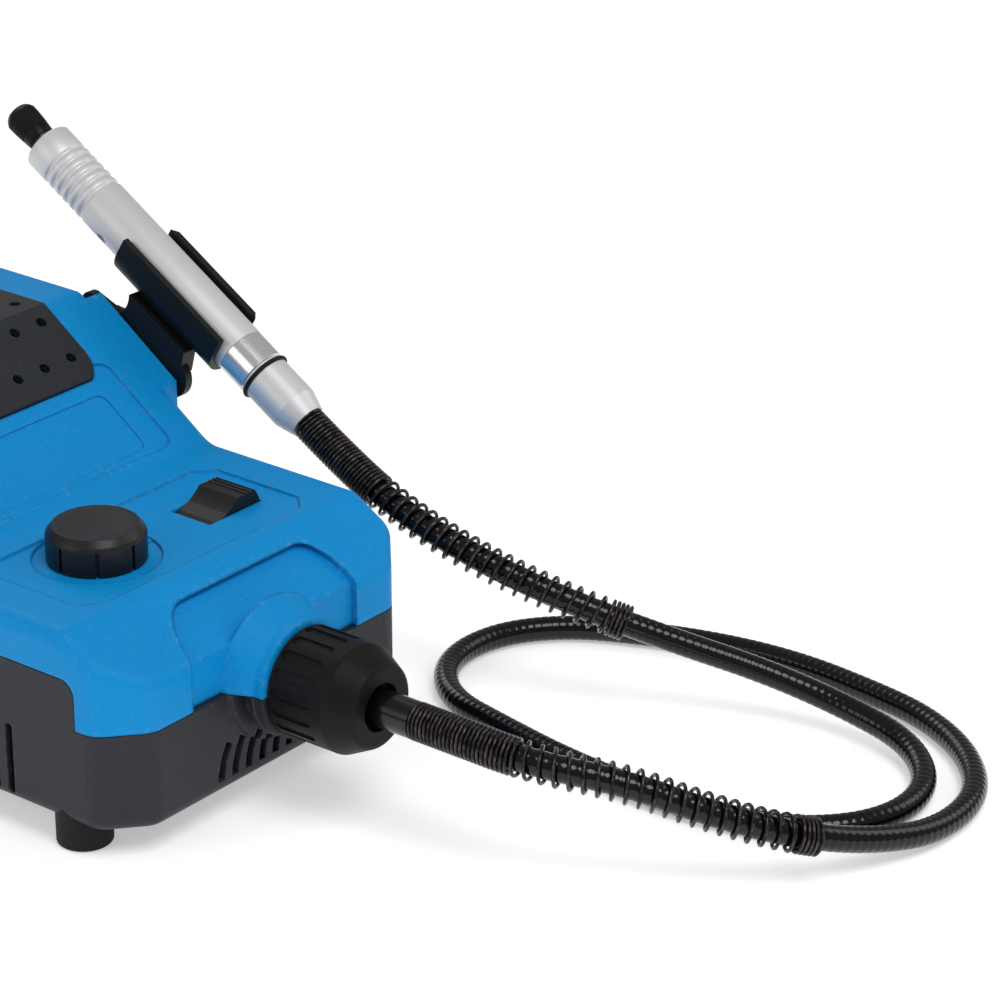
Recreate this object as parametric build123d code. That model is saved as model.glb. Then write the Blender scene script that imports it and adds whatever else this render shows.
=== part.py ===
from build123d import *
import os
from math import atan2, cos, pi, radians, sin, tan

# Rotary tool station with a flexible drive shaft and a handpiece in a side holder.
# Millimetres. X runs to the right, Y from the nose towards the back, Z up from the table.
# The pieces are drawn with X = 0 on the drive axis and Y = 0 on the flat front face, and
# are moved as they are written so that the origin is at the middle of the footprint.

# ---- casing ----
CASE_WIDTH = 156.0
CASE_DEPTH = 224.0
WALL = 2.6
FLOOR_Z = 11.0
PARTING_Z = 48.0
SHOULDER_Z = 66.0
DECK_Z = 82.6
HUMP_Z = 128.0
SHOULDER_DEPTH = 28.0
SLOPE_START = 99.0
SLOPE_END = 163.5
CORNER_X = 15.6
CORNER_Y = 13.8
REAR_CORNER = 10.0
EDGE_ROUND = 6.0
CORNER_ROUND = 10.0
BASE_ROUND = 5.0
SLOPE_FOOT_ROUND = 14.0
PANEL_TOP_Z = 66.0
PANEL_START = 22.0
PANEL_ROUND = 6.0
SEAM = 0.3

# ---- recesses, slots and feet ----
FACE_RECESS = 2.5
FACE_RECESS_HALF = 43.0
FACE_RECESS_TOP = 78.0
FACE_RECESS_ROUNDS = (18.0, 10.0)
DECK_RECESS = 0.9
DECK_RECESS_HALF = 58.0
DECK_RECESS_FRONT = 33.0
DECK_RECESS_BACK = 86.0
SLOPE_RECESS = 1.0
SLOPE_RECESS_HALF = 61.0
BADGE_RECESS = 1.5
BADGE_HALF = 50.0
LOUVRE_WIDTH = 3.4
LOUVRE_PITCH = 7.0
LOUVRE_HEIGHT = 13.0
LOUVRES = 9
SIDE_SLOT_WIDTH = 3.2
SIDE_SLOT_PITCH = 7.0
SIDE_SLOT_HEIGHT = 27.0
SIDE_SLOTS = 8
SIDE_SLOT_START = 54.0
FOOT_R = 10.0
FOOT_INSET = 29.5
FOOT_BORE_R = 2.2

# ---- nose and coupling ----
BOSS_R = 21.5
BOSS_FLARE_R = 27.0
BOSS_LENGTH = 12.3
NUT_GAP = 0.3
NUT_R = 20.0
NUT_GRIP_LENGTH = 24.7
NUT_LENGTH = 34.8
NUT_FACE_R = 15.0
NUT_MOUTH_R = 8.8
NUT_GROOVES = 18
NUT_GROOVE_WIDTH = 4.0
NUT_GROOVE_DEPTH = 0.8
COLLAR_R = 15.0
COLLAR_FLANGE_R = 17.2
COLLAR_FLANGE_Y = 9.4
COLLAR_FRONT = -30.0
COLLAR_BACK = 17.0
THREAD_GAP = 0.3
BEARING_R = 11.0
BEARING_BORE_R = 4.0
BEARING_WIDTH = 7.0
RUN_FIT = 0.03
FERRULE_R = 6.75
FERRULE_FLANGE_R = 12.5
FERRULE_FLANGE = 3.0
FERRULE_END = -63.5

# ---- motor and drive ----
MOTOR_R = 21.0
MOTOR_WALL = 1.5
MOTOR_FRONT = 51.0
MOTOR_LENGTH = 46.0
END_BELL_LENGTH = 9.0
MOTOR_SHAFT_R = 2.5
ARMATURE_R = 14.0
MAGNET_THICK = 4.5
FAN_R = 19.0
FAN_FRONT = 40.5
FAN_LENGTH = 8.0
FAN_BLADES = 11
COUPLER_R = 7.0
COUPLER_FRONT = 20.0
COUPLER_LENGTH = 18.0
SPINDLE_FRONT = -28.0
SPINDLE_BACK = 28.5
SOCKET_SIDE = 4.2
TANG_SIDE = 4.0
TANG_LENGTH = 12.0

# ---- controls ----
KNOB_X = -22.8
KNOB_Y = 62.7
KNOB_R = 17.9
KNOB_TOP_R = 15.2
KNOB_HEIGHT = 13.0
KNOB_WELL_R = 23.0
KNOB_FLUTES = 8
POT_SHAFT_R = 3.0
POT_R = 8.2
POT_HEIGHT = 7.0
ROCKER_X = 34.8
ROCKER_Y = 59.0
ROCKER_LENGTH = 27.0
ROCKER_WIDTH = 18.6
ROCKER_GAP = 0.35
ROCKER_RISE = 5.2
ROCKER_PIN_R = 1.25
ROCKER_PIVOT_DROP = 1.8

# ---- bit rack on the slope ----
RACK_HALF = 56.0
RACK_FRONT = 134.0
RACK_BACK = CASE_DEPTH - 24.0
RACK_THICK = 2.2
RACK_PROUD = 0.5
RACK_BORE_R = 2.15
RACK_PITCH = 13.85
RACK_COLUMNS = 8
RACK_SLOPE_ROWS = (143.0, 157.8)
RACK_TOP_ROWS = (171.0, 185.0)

# ---- battery ----
BATTERY_HALF = 41.0
BATTERY_FRONT = CASE_DEPTH - 90.0
BATTERY_BOTTOM = 26.0
BATTERY_TOP = 92.0
BATTERY_GAP = 0.6
BATTERY_WALL = 2.0
CAP_LENGTH = 12.0
CELL_R = 9.1
CELL_LENGTH = 65.0
BUTTON_HALF = 12.0
BUTTON_HEIGHT = 13.0
BUTTON_TRAVEL = 2.5
BUTTON_Z = 72.0

# ---- handpiece ----
HAND_X = CASE_WIDTH / 2 + 20.0
TAIL_Y = 70.2
TAIL_Z = 90.8
HAND_TILT = 32.0
HAND_LENGTH = 171.4
BARREL_R = 10.0
TAIL_TIP_R = 7.3
TAIL_CONE = 7.5
TAIL_LENGTH = 26.0
RING_LENGTH = 12.5
NOSE_LENGTH = 18.4
COLLET_NUT_LENGTH = 15.5
COLLET_NUT_R = 6.4
GRIP_GROOVES = 6
GRIP_PITCH = 4.0
GRIP_START = 30.0
HAND_BORE_R = 8.0
HAND_SPINDLE_R = 4.0
SHANK_R = 1.6
LOCK_HOLE_R = 2.25
LOCK_HOLE_PLACE = 63.0
LOCK_HOLE_TURN = 150.0
COLLET_R = 2.9
COLLET_SEAT = 14.0
KNURLS = 24

# ---- holder ----
CLIP_GAP = 0.3
CLIP_WALL = 2.5
CLIP_LENGTH = 50.0
CLIP_START = 77.0
CLIP_LIP = 7.0
WING_OUT = CASE_WIDTH / 2 + 6.0
WING_FRONT = 122.0
WING_BACK = 160.0
PLATE_THICK = 3.5
NECK_THICK = 6.0

# ---- flexible shaft ----
SLEEVE_R = 4.5
SLEEVE_BORE_R = 2.8
CORE_R = 2.0
GUARD_R = 7.0
GUARD_BORE_R = 5.8
GUARD_LENGTH = 148.0
TAIL_RUN = 16.0
ROUTE = [
    (0, FERRULE_END, PARTING_Z), (0, -80, PARTING_Z), (4, -108, 45), (21, -136.5, 39.5),
    (37, -158, 29), (57, -179, 19), (82.5, -193.5, 10.5), (111.5, -202.5, 4.8), (142, -200, 4.8),
    (166.5, -180.5, 4.8), (181.5, -153.5, 4.8), (186.5, -124, 4.8), (189, -93, 4.8),
    (185, -63, 4.8), (175, -33, 4.8), (161, -4, 4.8), (137, 13.5, 4.8), (107.5, 13, 4.8),
    (85.5, -7, 4.8), (79, -40, 4.8), (74, -68.5, 4.8), (72, -100.5, 4.8), (72.5, -127.5, 4.8),
    (80, -162, 4.8), (104.5, -184, 4.8), (135.5, -184, 4.8), (157.5, -162.5, 7), (160, -130, 11.5),
    (150, -102, 20.5), (135.5, -76, 29), (118.5, -51, 40), (107, -24, 49.5), (99.5, 3, 59.5),
    (96.5, 30, 70),
    (HAND_X, TAIL_Y - TAIL_RUN * cos(radians(HAND_TILT)),
     TAIL_Z - TAIL_RUN * sin(radians(HAND_TILT))),
    (HAND_X, TAIL_Y, TAIL_Z),
]

# ---- fasteners, seats and small inner parts ----
SCREW_R = 1.75
SCREW_HEAD_R = 3.4
SCREW_HEAD = 2.4
SCREW_TOP = 62.0
PILLAR_R = 5.0
CRADLES = (57.0, 88.0)
CRADLE_WIDTH = 3.0
SEAT_GAP = 0.15
BEARING_FRONTS = (-20.0, 8.0)
MOTOR_BEARING_R = 5.5
COMMUTATOR_R = 6.0
COMMUTATOR_LENGTH = 10.0
THRUST_RING = 1.6
POT_BUSH_R = 3.5
SWITCH_WALL = 1.6
SWITCH_DEPTH = 18.5
BOARD_X = CASE_WIDTH / 2 - 22.0
BOARD_THICK = 1.6
BOARD_FRONT = 48.0
BOARD_BACK = 112.0
BOARD_BOTTOM = 20.0
BOARD_TOP = 62.0
TERMINAL_FRONT = BATTERY_FRONT - 13.0
TERMINAL_BOTTOM = 42.0
TERMINAL_TOP = 60.0
HAND_BEARING_WIDTH = 5.0
HOLDER_SCREW_DEPTH = 10.0

# ---- worked-out values ----
HALF = CASE_WIDTH / 2
AXIS_Z = PARTING_Z
NUT_BACK = -BOSS_LENGTH - NUT_GAP
NUT_FRONT = NUT_BACK - NUT_LENGTH
ROCKER_PIVOT_Z = DECK_Z - WALL - ROCKER_PIVOT_DROP
HAND_LEFT = HAND_X - BARREL_R - CLIP_GAP - CLIP_WALL
HAND_RIGHT = HAND_X + BARREL_R + CLIP_GAP + CLIP_WALL
CENTRE_X = (HAND_RIGHT - HALF) / 2
CENTRE_Y = (CASE_DEPTH + NUT_FRONT) / 2
SLOPE = atan2(HUMP_Z - DECK_Z, SLOPE_END - SLOPE_START)
MOTOR_BACK = MOTOR_FRONT + MOTOR_LENGTH
BELL_BACK = MOTOR_BACK + END_BELL_LENGTH
COMMUTATOR_FRONT = MOTOR_BACK - COMMUTATOR_LENGTH
FERRULE_BACK = COLLAR_FRONT - 0.2
RING_BACK = FERRULE_BACK - FERRULE_FLANGE - 0.2
SHOULDER_Y = RING_BACK - THRUST_RING - 0.2


def slope_z(y):
    """Height of the sloped face at a depth y."""
    return DECK_Z + (y - SLOPE_START) * tan(SLOPE)


def along_y(radius, start, end, x=0.0, z=AXIS_Z):
    """A round bar along Y from start to end."""
    return Pos(x, (start + end) / 2, z) * Rot(90, 0, 0) * Cylinder(radius, abs(end - start))


def tube_y(outer, inner, start, end, x=0.0, z=AXIS_Z):
    """A round tube along Y."""
    low, high = sorted((start, end))
    return along_y(outer, low, high, x, z) - along_y(inner, low - 1, high + 1, x, z)


def cone_y(r_start, r_end, start, end, z=AXIS_Z):
    """A cone along Y with radius r_start at start and r_end at end."""
    turned = Cone(r_start, r_end, end - start)
    return Pos(0, (start + end) / 2, z) * Rot(-90, 0, 0) * turned


def block(x0, x1, y0, y1, z0, z1):
    """A box given by its corners."""
    return Pos((x0 + x1) / 2, (y0 + y1) / 2, (z0 + z1) / 2) * Box(x1 - x0, y1 - y0, z1 - z0)


def slab(face, z0, z1):
    """A flat outline raised from z0 to z1."""
    return Pos(0, 0, z0) * extrude(face, z1 - z0)


def save(node, shape):
    """Write one node, moved to the middle of the footprint."""
    export_step(Pos(-CENTRE_X, -CENTRE_Y, 0) * shape, "parts/" + node + ".step")


# ---- casing ----
def side_outline(top=DECK_Z):
    return make_face(Polyline(
        (0, FLOOR_Z), (0, SHOULDER_Z), (SHOULDER_DEPTH, top), (SLOPE_START, top),
        (SLOPE_END, HUMP_Z), (CASE_DEPTH, HUMP_Z), (CASE_DEPTH, FLOOR_Z), close=True))


def plan_outline():
    half, back = HALF, CASE_DEPTH
    return make_face(Polyline(
        (-half, CORNER_Y), (CORNER_X - half, 0), (half - CORNER_X, 0), (half, CORNER_Y),
        (half, back - REAR_CORNER), (half - REAR_CORNER, back),
        (REAR_CORNER - half, back), (-half, back - REAR_CORNER), close=True))


def casing_block(inset):
    """The casing's solid outer form, or with an inset the space inside its walls."""
    side, plan = side_outline(), plan_outline()
    if inset:
        side = offset(side, -inset, kind=Kind.INTERSECTION)
        plan = offset(plan, -inset, kind=Kind.INTERSECTION)
    return extrude(Plane.YZ * side, CASE_WIDTH, both=True) & extrude(plan, 2 * HUMP_Z)


def inner_space():
    """Space inside the walls, which stay as thick behind the face recess."""
    deep = offset(side_outline(), -FACE_RECESS - WALL, kind=Kind.INTERSECTION)
    half = FACE_RECESS_HALF + WALL
    band = block(-half, half, 0, SHOULDER_DEPTH + 4, PARTING_Z - WALL, FACE_RECESS_TOP + WALL)
    return casing_block(WALL) - (band - extrude(Plane.YZ * deep, CASE_WIDTH, both=True))


def is_slope_foot(edge):
    """True for the hollow edge where the deck meets the slope."""
    centre = edge.center()
    return abs(centre.Y - SLOPE_START) < 1 and edge.bounding_box().size.X > HALF


def is_corner(edge):
    """True for the upright edges of the plan's corners."""
    size = edge.bounding_box().size
    return size.Z > 20 and size.X < 1 and size.Y < 1


def rounded_casing():
    """Outer form with its corners and edges rounded."""
    form = casing_block(0)
    form = fillet(form.edges().filter_by(is_slope_foot), SLOPE_FOOT_ROUND)
    form = fillet(form.edges().filter_by(is_corner), CORNER_ROUND)
    upper = form.edges().filter_by(
        lambda e: e.bounding_box().max.Z > SHOULDER_Z - 0.1 and not is_corner(e)
        and not (SLOPE_START - 30 < e.center().Y < SLOPE_START + 30
                 and e.bounding_box().size.X > HALF))
    form = fillet(upper, EDGE_ROUND)
    base = form.edges().filter_by(lambda e: e.bounding_box().max.Z < FLOOR_Z + 0.01)
    return fillet(base, BASE_ROUND)


def wing():
    """Block on the right of the hump that carries the holder."""
    drop = 13.0
    outline = make_face(Polyline(
        (WING_FRONT, slope_z(WING_FRONT) - drop), (WING_FRONT, slope_z(WING_FRONT)),
        (WING_BACK, slope_z(WING_BACK)), (WING_BACK, slope_z(WING_BACK) - drop), close=True))
    body = Pos(HALF - 12, 0, 0) * extrude(Plane.YZ * outline, WING_OUT - HALF + 12)
    outer = body.edges().filter_by(lambda e: e.center().X > WING_OUT - 0.01)
    return chamfer(outer, 1.2)


def nose_boss():
    """Round boss on the front face, flared where it meets the face."""
    flare = cone_y(BOSS_R, BOSS_FLARE_R, -BOSS_LENGTH + 4, FACE_RECESS + 0.5)
    inside = along_y(COLLAR_FLANGE_R + 1.4, 0, COLLAR_FLANGE_Y - 0.2)
    return flare + along_y(BOSS_R, -BOSS_LENGTH, FACE_RECESS + 1) + inside


def face_recess():
    """Cutter for the shallow recess that follows the front face and its shoulder."""
    low = PARTING_Z + SEAM / 2
    window = Rectangle(2 * FACE_RECESS_HALF, FACE_RECESS_TOP - low)
    window = fillet(window.vertices().group_by(Axis.Y)[-1].sort_by(Axis.X)[0], FACE_RECESS_ROUNDS[0])
    window = fillet(window.vertices().group_by(Axis.Y)[-1].sort_by(Axis.X)[-1], FACE_RECESS_ROUNDS[1])
    middle = (FACE_RECESS_TOP + low) / 2
    prism = extrude(Plane.XZ.offset(-SHOULDER_DEPTH) * Pos(0, middle) * window, 2 * SHOULDER_DEPTH)
    inner = offset(side_outline(), -FACE_RECESS, kind=Kind.INTERSECTION)
    return prism - extrude(Plane.YZ * inner, CASE_WIDTH, both=True)


def deck_recess():
    """Cutter for the control panel recess and the round well under the knob."""
    depth = DECK_RECESS_BACK - DECK_RECESS_FRONT
    panel = chamfer(Rectangle(2 * DECK_RECESS_HALF, depth).vertices(), 7)
    panel = Pos(0, (DECK_RECESS_BACK + DECK_RECESS_FRONT) / 2) * panel
    well = Pos(KNOB_X, KNOB_Y) * Circle(KNOB_WELL_R)
    return slab(panel, DECK_Z - DECK_RECESS, DECK_Z + 5) + slab(well, DECK_Z - 2 * DECK_RECESS, DECK_Z)


def on_slope(y, sink):
    """Plane lying on the slope at depth y, sunk by sink, local y running up the slope."""
    normal = Vector(0, -sin(SLOPE), cos(SLOPE))
    origin = Vector(0, y, slope_z(y)) - normal * sink
    return Plane(origin=origin, x_dir=(1, 0, 0), z_dir=normal)


def on_slope_recess(half, start, end, sink, corner):
    """Cutter for a recess with rounded corners between two depths on the slope."""
    plate = fillet(Rectangle(2 * half, (end - start) / cos(SLOPE)).vertices(), corner)
    return extrude(on_slope((start + end) / 2, sink) * plate, 5)


def slope_recesses():
    """Cutters for the slope's recess up to the bit rack and the plain badge recess in it."""
    return [on_slope_recess(SLOPE_RECESS_HALF, 103.5, RACK_FRONT + 4, SLOPE_RECESS, 5),
            on_slope_recess(BADGE_HALF, 106.0, 128.5, BADGE_RECESS, 4)]


def rack_band(half, front, back, low, high):
    """A band that follows the slope and the hump's flat top, between two offsets from them."""
    def run(rise):
        shift = rise * tan(SLOPE / 2)
        return [(front - rise * sin(SLOPE), slope_z(front) + rise * cos(SLOPE)),
                (SLOPE_END - shift, HUMP_Z + rise), (back, HUMP_Z + rise)]
    outline = make_face(Polyline(*run(low), *reversed(run(high)), close=True))
    band = extrude(Plane.YZ * outline, half, both=True)
    top = Pos(0, (front + back) / 2) * fillet(Rectangle(2 * half, back - front).vertices(), 9)
    return band & slab(top, DECK_Z, HUMP_Z + 20)


def rack_bores(radius, depth):
    """Cutters for the bit rack's bores, at right angles to the face that each is in."""
    cutters = []
    for column in range(RACK_COLUMNS):
        x = (column - (RACK_COLUMNS - 1) / 2) * RACK_PITCH
        for y in RACK_SLOPE_ROWS:
            cutters.append(on_slope(y, 0) * Pos(x, 0, 0) * Cylinder(radius, 2 * depth))
        for y in RACK_TOP_ROWS:
            cutters.append(Pos(x, y, HUMP_Z) * Cylinder(radius, 2 * depth))
    return cutters


def lower_region(gap=0.0):
    """Space that belongs to the lower shell: below the seam, and the raised side panels."""
    region = block(-CASE_WIDTH, CASE_WIDTH, -CASE_WIDTH, 2 * CASE_DEPTH, -1, PARTING_Z + gap)
    length = CASE_DEPTH - 2 * PANEL_START + 2 * gap
    top, low = PANEL_TOP_Z + gap, PARTING_Z - 10
    panel = fillet(Rectangle(length, top - low).vertices().group_by(Axis.Y)[-1], PANEL_ROUND)
    panel = Plane.YZ * Pos(CASE_DEPTH / 2, (top + low) / 2) * panel
    side = Pos(HALF - 2 * WALL, 0, 0) * extrude(panel, 4 * WALL)
    return region + side + mirror(side, Plane.YZ)


def screw_places():
    """Plan positions of the four screws that hold the shells together."""
    front, back, x_front, x_back = 30.0, CASE_DEPTH - 42.0, HALF - 30.0, HALF - 26.5
    return [(-x_front, front), (x_front, front), (-x_back, back), (x_back, back)]


def casing_wall():
    """Both shells as one hollow piece, with the nose boss, the wing and every opening."""
    wall = (rounded_casing() + wing() - face_recess()) - inner_space()
    wall += nose_boss()
    wall -= deck_recess()
    for cutter in slope_recesses():
        wall -= cutter
    wall -= along_y(COLLAR_R + SEAT_GAP, -CASE_WIDTH, COLLAR_FLANGE_Y + 1)
    opening = BATTERY_HALF + BATTERY_GAP
    wall -= block(-opening, opening, CASE_DEPTH - 3 * WALL, CASE_DEPTH + 1,
                  BATTERY_BOTTOM - BATTERY_GAP, BATTERY_TOP + BATTERY_GAP)
    return wall


def front_louvres():
    """Cutters for the curved cooling slots low on the front."""
    cutters = []
    for index in range(LOUVRES):
        x = (index - (LOUVRES - 1) / 2) * LOUVRE_PITCH
        arc = ThreePointArc((x - 2.0, 16.5), (x - 0.6, 16.5 + LOUVRE_HEIGHT / 2),
                            (x + 2.6, 16.5 + LOUVRE_HEIGHT))
        strip = trace(arc, LOUVRE_WIDTH)
        cutters.append(extrude(Plane.XZ.offset(-2 * WALL - BASE_ROUND) * strip, 20))
    return cutters


def side_slots():
    """Cutters for the upright cooling slots in both sides."""
    cutters = []
    for index in range(SIDE_SLOTS):
        y = SIDE_SLOT_START + index * SIDE_SLOT_PITCH
        slot = fillet(Rectangle(SIDE_SLOT_WIDTH, SIDE_SLOT_HEIGHT).vertices(), 1.5)
        slot = Plane.YZ * Pos(y, 14 + SIDE_SLOT_HEIGHT / 2) * slot
        cutters.append(extrude(slot, CASE_WIDTH, both=True))
    return cutters


def lower_shell(wall, form):
    """Lower shell with pillars, motor cradles, battery rails and board slots."""
    shell = wall & lower_region()
    floor = FLOOR_Z + WALL - 0.5
    inside = Part()
    for x, y in screw_places():
        inside += Pos(x, y, (floor + PARTING_Z) / 2) * Cylinder(PILLAR_R, PARTING_Z - floor)
    for y in CRADLES:
        inside += block(-MOTOR_R - 6, MOTOR_R + 6, y, y + CRADLE_WIDTH, floor, PARTING_Z - 2)
    for side in (-1, 1):
        inside += block(*sorted((side * 32, side * 36)), BATTERY_FRONT, CASE_DEPTH - 1,
                        floor, BATTERY_BOTTOM - SEAM)
    inside += block(-10, 10, TERMINAL_FRONT + 2, TERMINAL_FRONT + 8, floor, TERMINAL_BOTTOM)
    for y in (BOARD_FRONT - 2, BOARD_BACK - 2):
        inside += block(BOARD_X - 4, HALF - WALL / 2, y, y + 4, floor, BOARD_TOP - 6)
    shell += inside & form
    shell -= along_y(MOTOR_R + SEAT_GAP, MOTOR_FRONT - 4, BELL_BACK + 4)
    shell -= block(BOARD_X - SEAT_GAP, BOARD_X + BOARD_THICK + SEAT_GAP, BOARD_FRONT, BOARD_BACK,
                   BOARD_BOTTOM, BOARD_TOP)
    shell -= tube_y(BOSS_FLARE_R + 4, BOSS_R - 2.7, -7.2, -1.6) & block(
        -CASE_WIDTH, CASE_WIDTH, -20, 0, 0, PARTING_Z)
    for x, y in screw_places():
        shell -= Pos(x, y, PARTING_Z / 2) * Cylinder(SCREW_R + 0.25, PARTING_Z + 1)
        shell -= Pos(x, y, 0) * Cylinder(SCREW_HEAD_R + 0.3, 2 * (FLOOR_Z + SCREW_HEAD + 0.6))
    for x, y in foot_places():
        shell -= Pos(x, y, FLOOR_Z) * Cylinder(FOOT_BORE_R, 4 * WALL)
    for cutter in front_louvres() + side_slots():
        shell -= cutter
    return shell


def upper_shell(wall, form):
    """Upper shell with its pillars, motor ribs, battery rails and control openings."""
    shell = wall - lower_region(SEAM)
    inside = Part()
    bottom = PARTING_Z + SEAM
    for x, y in screw_places():
        inside += Pos(x, y, (bottom + HUMP_Z) / 2) * Cylinder(PILLAR_R, HUMP_Z - bottom)
    for y in CRADLES:
        inside += block(-12, 12, y, y + CRADLE_WIDTH, AXIS_Z + 12, DECK_Z)
    for side in (-1, 1):
        inner = BATTERY_HALF + BATTERY_GAP
        inside += block(*sorted((side * inner, side * (inner + 3))), BATTERY_FRONT + 6,
                        CASE_DEPTH - 1, PANEL_TOP_Z + 4, HUMP_Z)
    inside &= casing_block(WALL / 2)
    shell += inside - lower_region(SEAM)
    shell -= along_y(MOTOR_R + SEAT_GAP, MOTOR_FRONT - 4, BELL_BACK + 4)
    for x, y in screw_places():
        shell -= Pos(x, y, PARTING_Z) * Cylinder(SCREW_R + RUN_FIT, 2 * (SCREW_TOP - PARTING_Z + 1))
    shell -= Pos(KNOB_X, KNOB_Y, DECK_Z) * Cylinder(POT_BUSH_R + SEAT_GAP, 6 * WALL)
    half_x = ROCKER_LENGTH / 2 + ROCKER_GAP
    half_y = ROCKER_WIDTH / 2 + ROCKER_GAP
    shell -= block(ROCKER_X - half_x, ROCKER_X + half_x, ROCKER_Y - half_y, ROCKER_Y + half_y,
                   DECK_Z - 3 * WALL, DECK_Z + 1)
    shell -= rack_band(RACK_HALF + SEAM, RACK_FRONT - SEAM, RACK_BACK + SEAM,
                       RACK_PROUD - RACK_THICK - SEAT_GAP, 10)
    for cutter in rack_bores(RACK_BORE_R + 0.2, 3 * WALL):
        shell -= cutter
    for y, z in holder_screw_places():
        shell -= Pos(WING_OUT, y, z) * Rot(0, 90, 0) * Cylinder(SCREW_R + RUN_FIT, 2 * HOLDER_SCREW_DEPTH)
    return shell


def foot_places():
    """Centres of the four feet, flush with the casing's sides."""
    x = HALF - FOOT_R
    return [(sx * x, y) for sx in (-1, 1) for y in (FOOT_INSET, CASE_DEPTH - FOOT_INSET)]


def rubber_feet(form):
    feet = Part()
    for x, y in foot_places():
        foot = Pos(x, y, FLOOR_Z / 2 + 3) * Cylinder(FOOT_R, FLOOR_Z + 6)
        foot = fillet(foot.edges().group_by(Axis.Z)[0], 1.2) - form
        feet += foot + Pos(x, y, FLOOR_Z + WALL / 2) * Cylinder(FOOT_BORE_R - 0.02, WALL + 0.1)
    return feet


def case_screws():
    screws = Part()
    for x, y in screw_places():
        low = FLOOR_Z + 0.5
        head = Pos(x, y, low + SCREW_HEAD / 2) * Cylinder(SCREW_HEAD_R, SCREW_HEAD)
        head -= Pos(x, y, low) * extrude(RegularPolygon(1.5, 6), 1.2, both=True)
        screws += head + Pos(x, y, (low + SCREW_TOP) / 2 + 1) * Cylinder(SCREW_R, SCREW_TOP - low - 2)
    return screws


def bit_rack_panel():
    """Panel with rows of bores for bit shanks, let into the slope and the hump's top."""
    panel = rack_band(RACK_HALF, RACK_FRONT, RACK_BACK, RACK_PROUD - RACK_THICK, RACK_PROUD)
    for cutter in rack_bores(RACK_BORE_R, 3 * WALL):
        panel -= cutter
    return panel


# ---- nose, coupling and drive line ----
def nose_collar():
    """Threaded tube that carries both spindle bearings and takes the coupling nut."""
    collar = along_y(COLLAR_R, COLLAR_FRONT, COLLAR_BACK)
    collar += along_y(COLLAR_FLANGE_R, COLLAR_FLANGE_Y, COLLAR_FLANGE_Y + 4)
    collar -= along_y(BEARING_R - 1.5, COLLAR_FRONT - 1, COLLAR_BACK + 1)
    collar -= along_y(BEARING_R, BEARING_FRONTS[0], COLLAR_FRONT - 1)
    collar -= along_y(BEARING_R, BEARING_FRONTS[0], BEARING_FRONTS[0] + BEARING_WIDTH)
    collar -= along_y(BEARING_R, BEARING_FRONTS[1], COLLAR_BACK + 1)
    return collar


def ball_bearing(outer, bore, width):
    """A bearing standing on its axis: two races with a shield let in between them."""
    race = (outer - bore) / 3.5
    body = Cylinder(outer, width) - Cylinder(bore, width + 1)
    shield = Cylinder(outer - race, width) - Cylinder(bore + race, width + 1)
    for end in (-1, 1):
        body -= Pos(0, 0, end * (width - 0.5)) * shield
    return body


def spindle_bearings():
    bearings = Part()
    for front in BEARING_FRONTS:
        place = Pos(0, front + BEARING_WIDTH / 2, AXIS_Z) * Rot(90, 0, 0)
        bearings += place * ball_bearing(BEARING_R - 0.02, BEARING_BORE_R, BEARING_WIDTH)
    return bearings


def drive_spindle():
    """Spindle with a square socket in its front end."""
    shaft = along_y(BEARING_BORE_R - RUN_FIT, SPINDLE_FRONT, SPINDLE_BACK)
    shaft += along_y(BEARING_BORE_R + 1.4, BEARING_FRONTS[0] + BEARING_WIDTH + 0.2,
                     BEARING_FRONTS[1] - 0.2)
    socket = SOCKET_SIDE / 2
    shaft -= block(-socket, socket, SPINDLE_FRONT - 1, SPINDLE_FRONT + TANG_LENGTH + 1,
                   AXIS_Z - socket, AXIS_Z + socket)
    return shaft


def core_drive_tang():
    """Square end of the flexible core, seated in the spindle's socket."""
    half = TANG_SIDE / 2
    tang = block(-half, half, SPINDLE_FRONT - 1.5, SPINDLE_FRONT + TANG_LENGTH,
                 AXIS_Z - half, AXIS_Z + half)
    return tang + along_y(CORE_R + 1.2, SPINDLE_FRONT - 4.5, SPINDLE_FRONT - 1.5)


def coupling_nut():
    """Knurl-grooved nut with a domed front and a recessed mouth."""
    grip_end = NUT_BACK - NUT_GRIP_LENGTH
    profile = make_face(Polyline(
        (0, NUT_BACK), (NUT_R, NUT_BACK), (NUT_R, grip_end), (NUT_FACE_R, NUT_FRONT),
        (0, NUT_FRONT), close=True))
    corners = profile.vertices().filter_by(lambda v: abs(v.X) > NUT_FACE_R - 0.1 and v.Y < NUT_BACK - 1)
    profile = fillet(corners, 2.2)
    back = profile.vertices().filter_by(lambda v: v.X > NUT_R - 0.1 and v.Y > NUT_BACK - 0.1)
    profile = chamfer(back, 0.8)
    nut = Pos(0, 0, AXIS_Z) * revolve(profile, Axis.Y)
    nut -= along_y(COLLAR_R + THREAD_GAP, NUT_BACK + 1, SHOULDER_Y)
    nut -= along_y(FERRULE_R + 0.4, NUT_BACK, NUT_FRONT - 1)
    nut -= along_y(NUT_MOUTH_R, NUT_FRONT + 4, NUT_FRONT - 1)
    length = NUT_GRIP_LENGTH - 7.0
    groove = Plane.YZ * Pos(NUT_BACK - 1.6 - length / 2, 0) * SlotOverall(length, NUT_GROOVE_WIDTH)
    groove = Pos(NUT_R - NUT_GROOVE_DEPTH, 0, 0) * extrude(groove, 5)
    for turn in range(NUT_GROOVES):
        nut -= Pos(0, 0, AXIS_Z) * Rot(0, 360 / NUT_GROOVES * (turn + 0.5), 0) * groove
    return nut


def thrust_ring():
    """Loose ring between the nut's shoulder and the ferrule's flange."""
    return tube_y(COLLAR_R - 1.5, FERRULE_R + 0.4, RING_BACK, RING_BACK - THRUST_RING)


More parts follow.
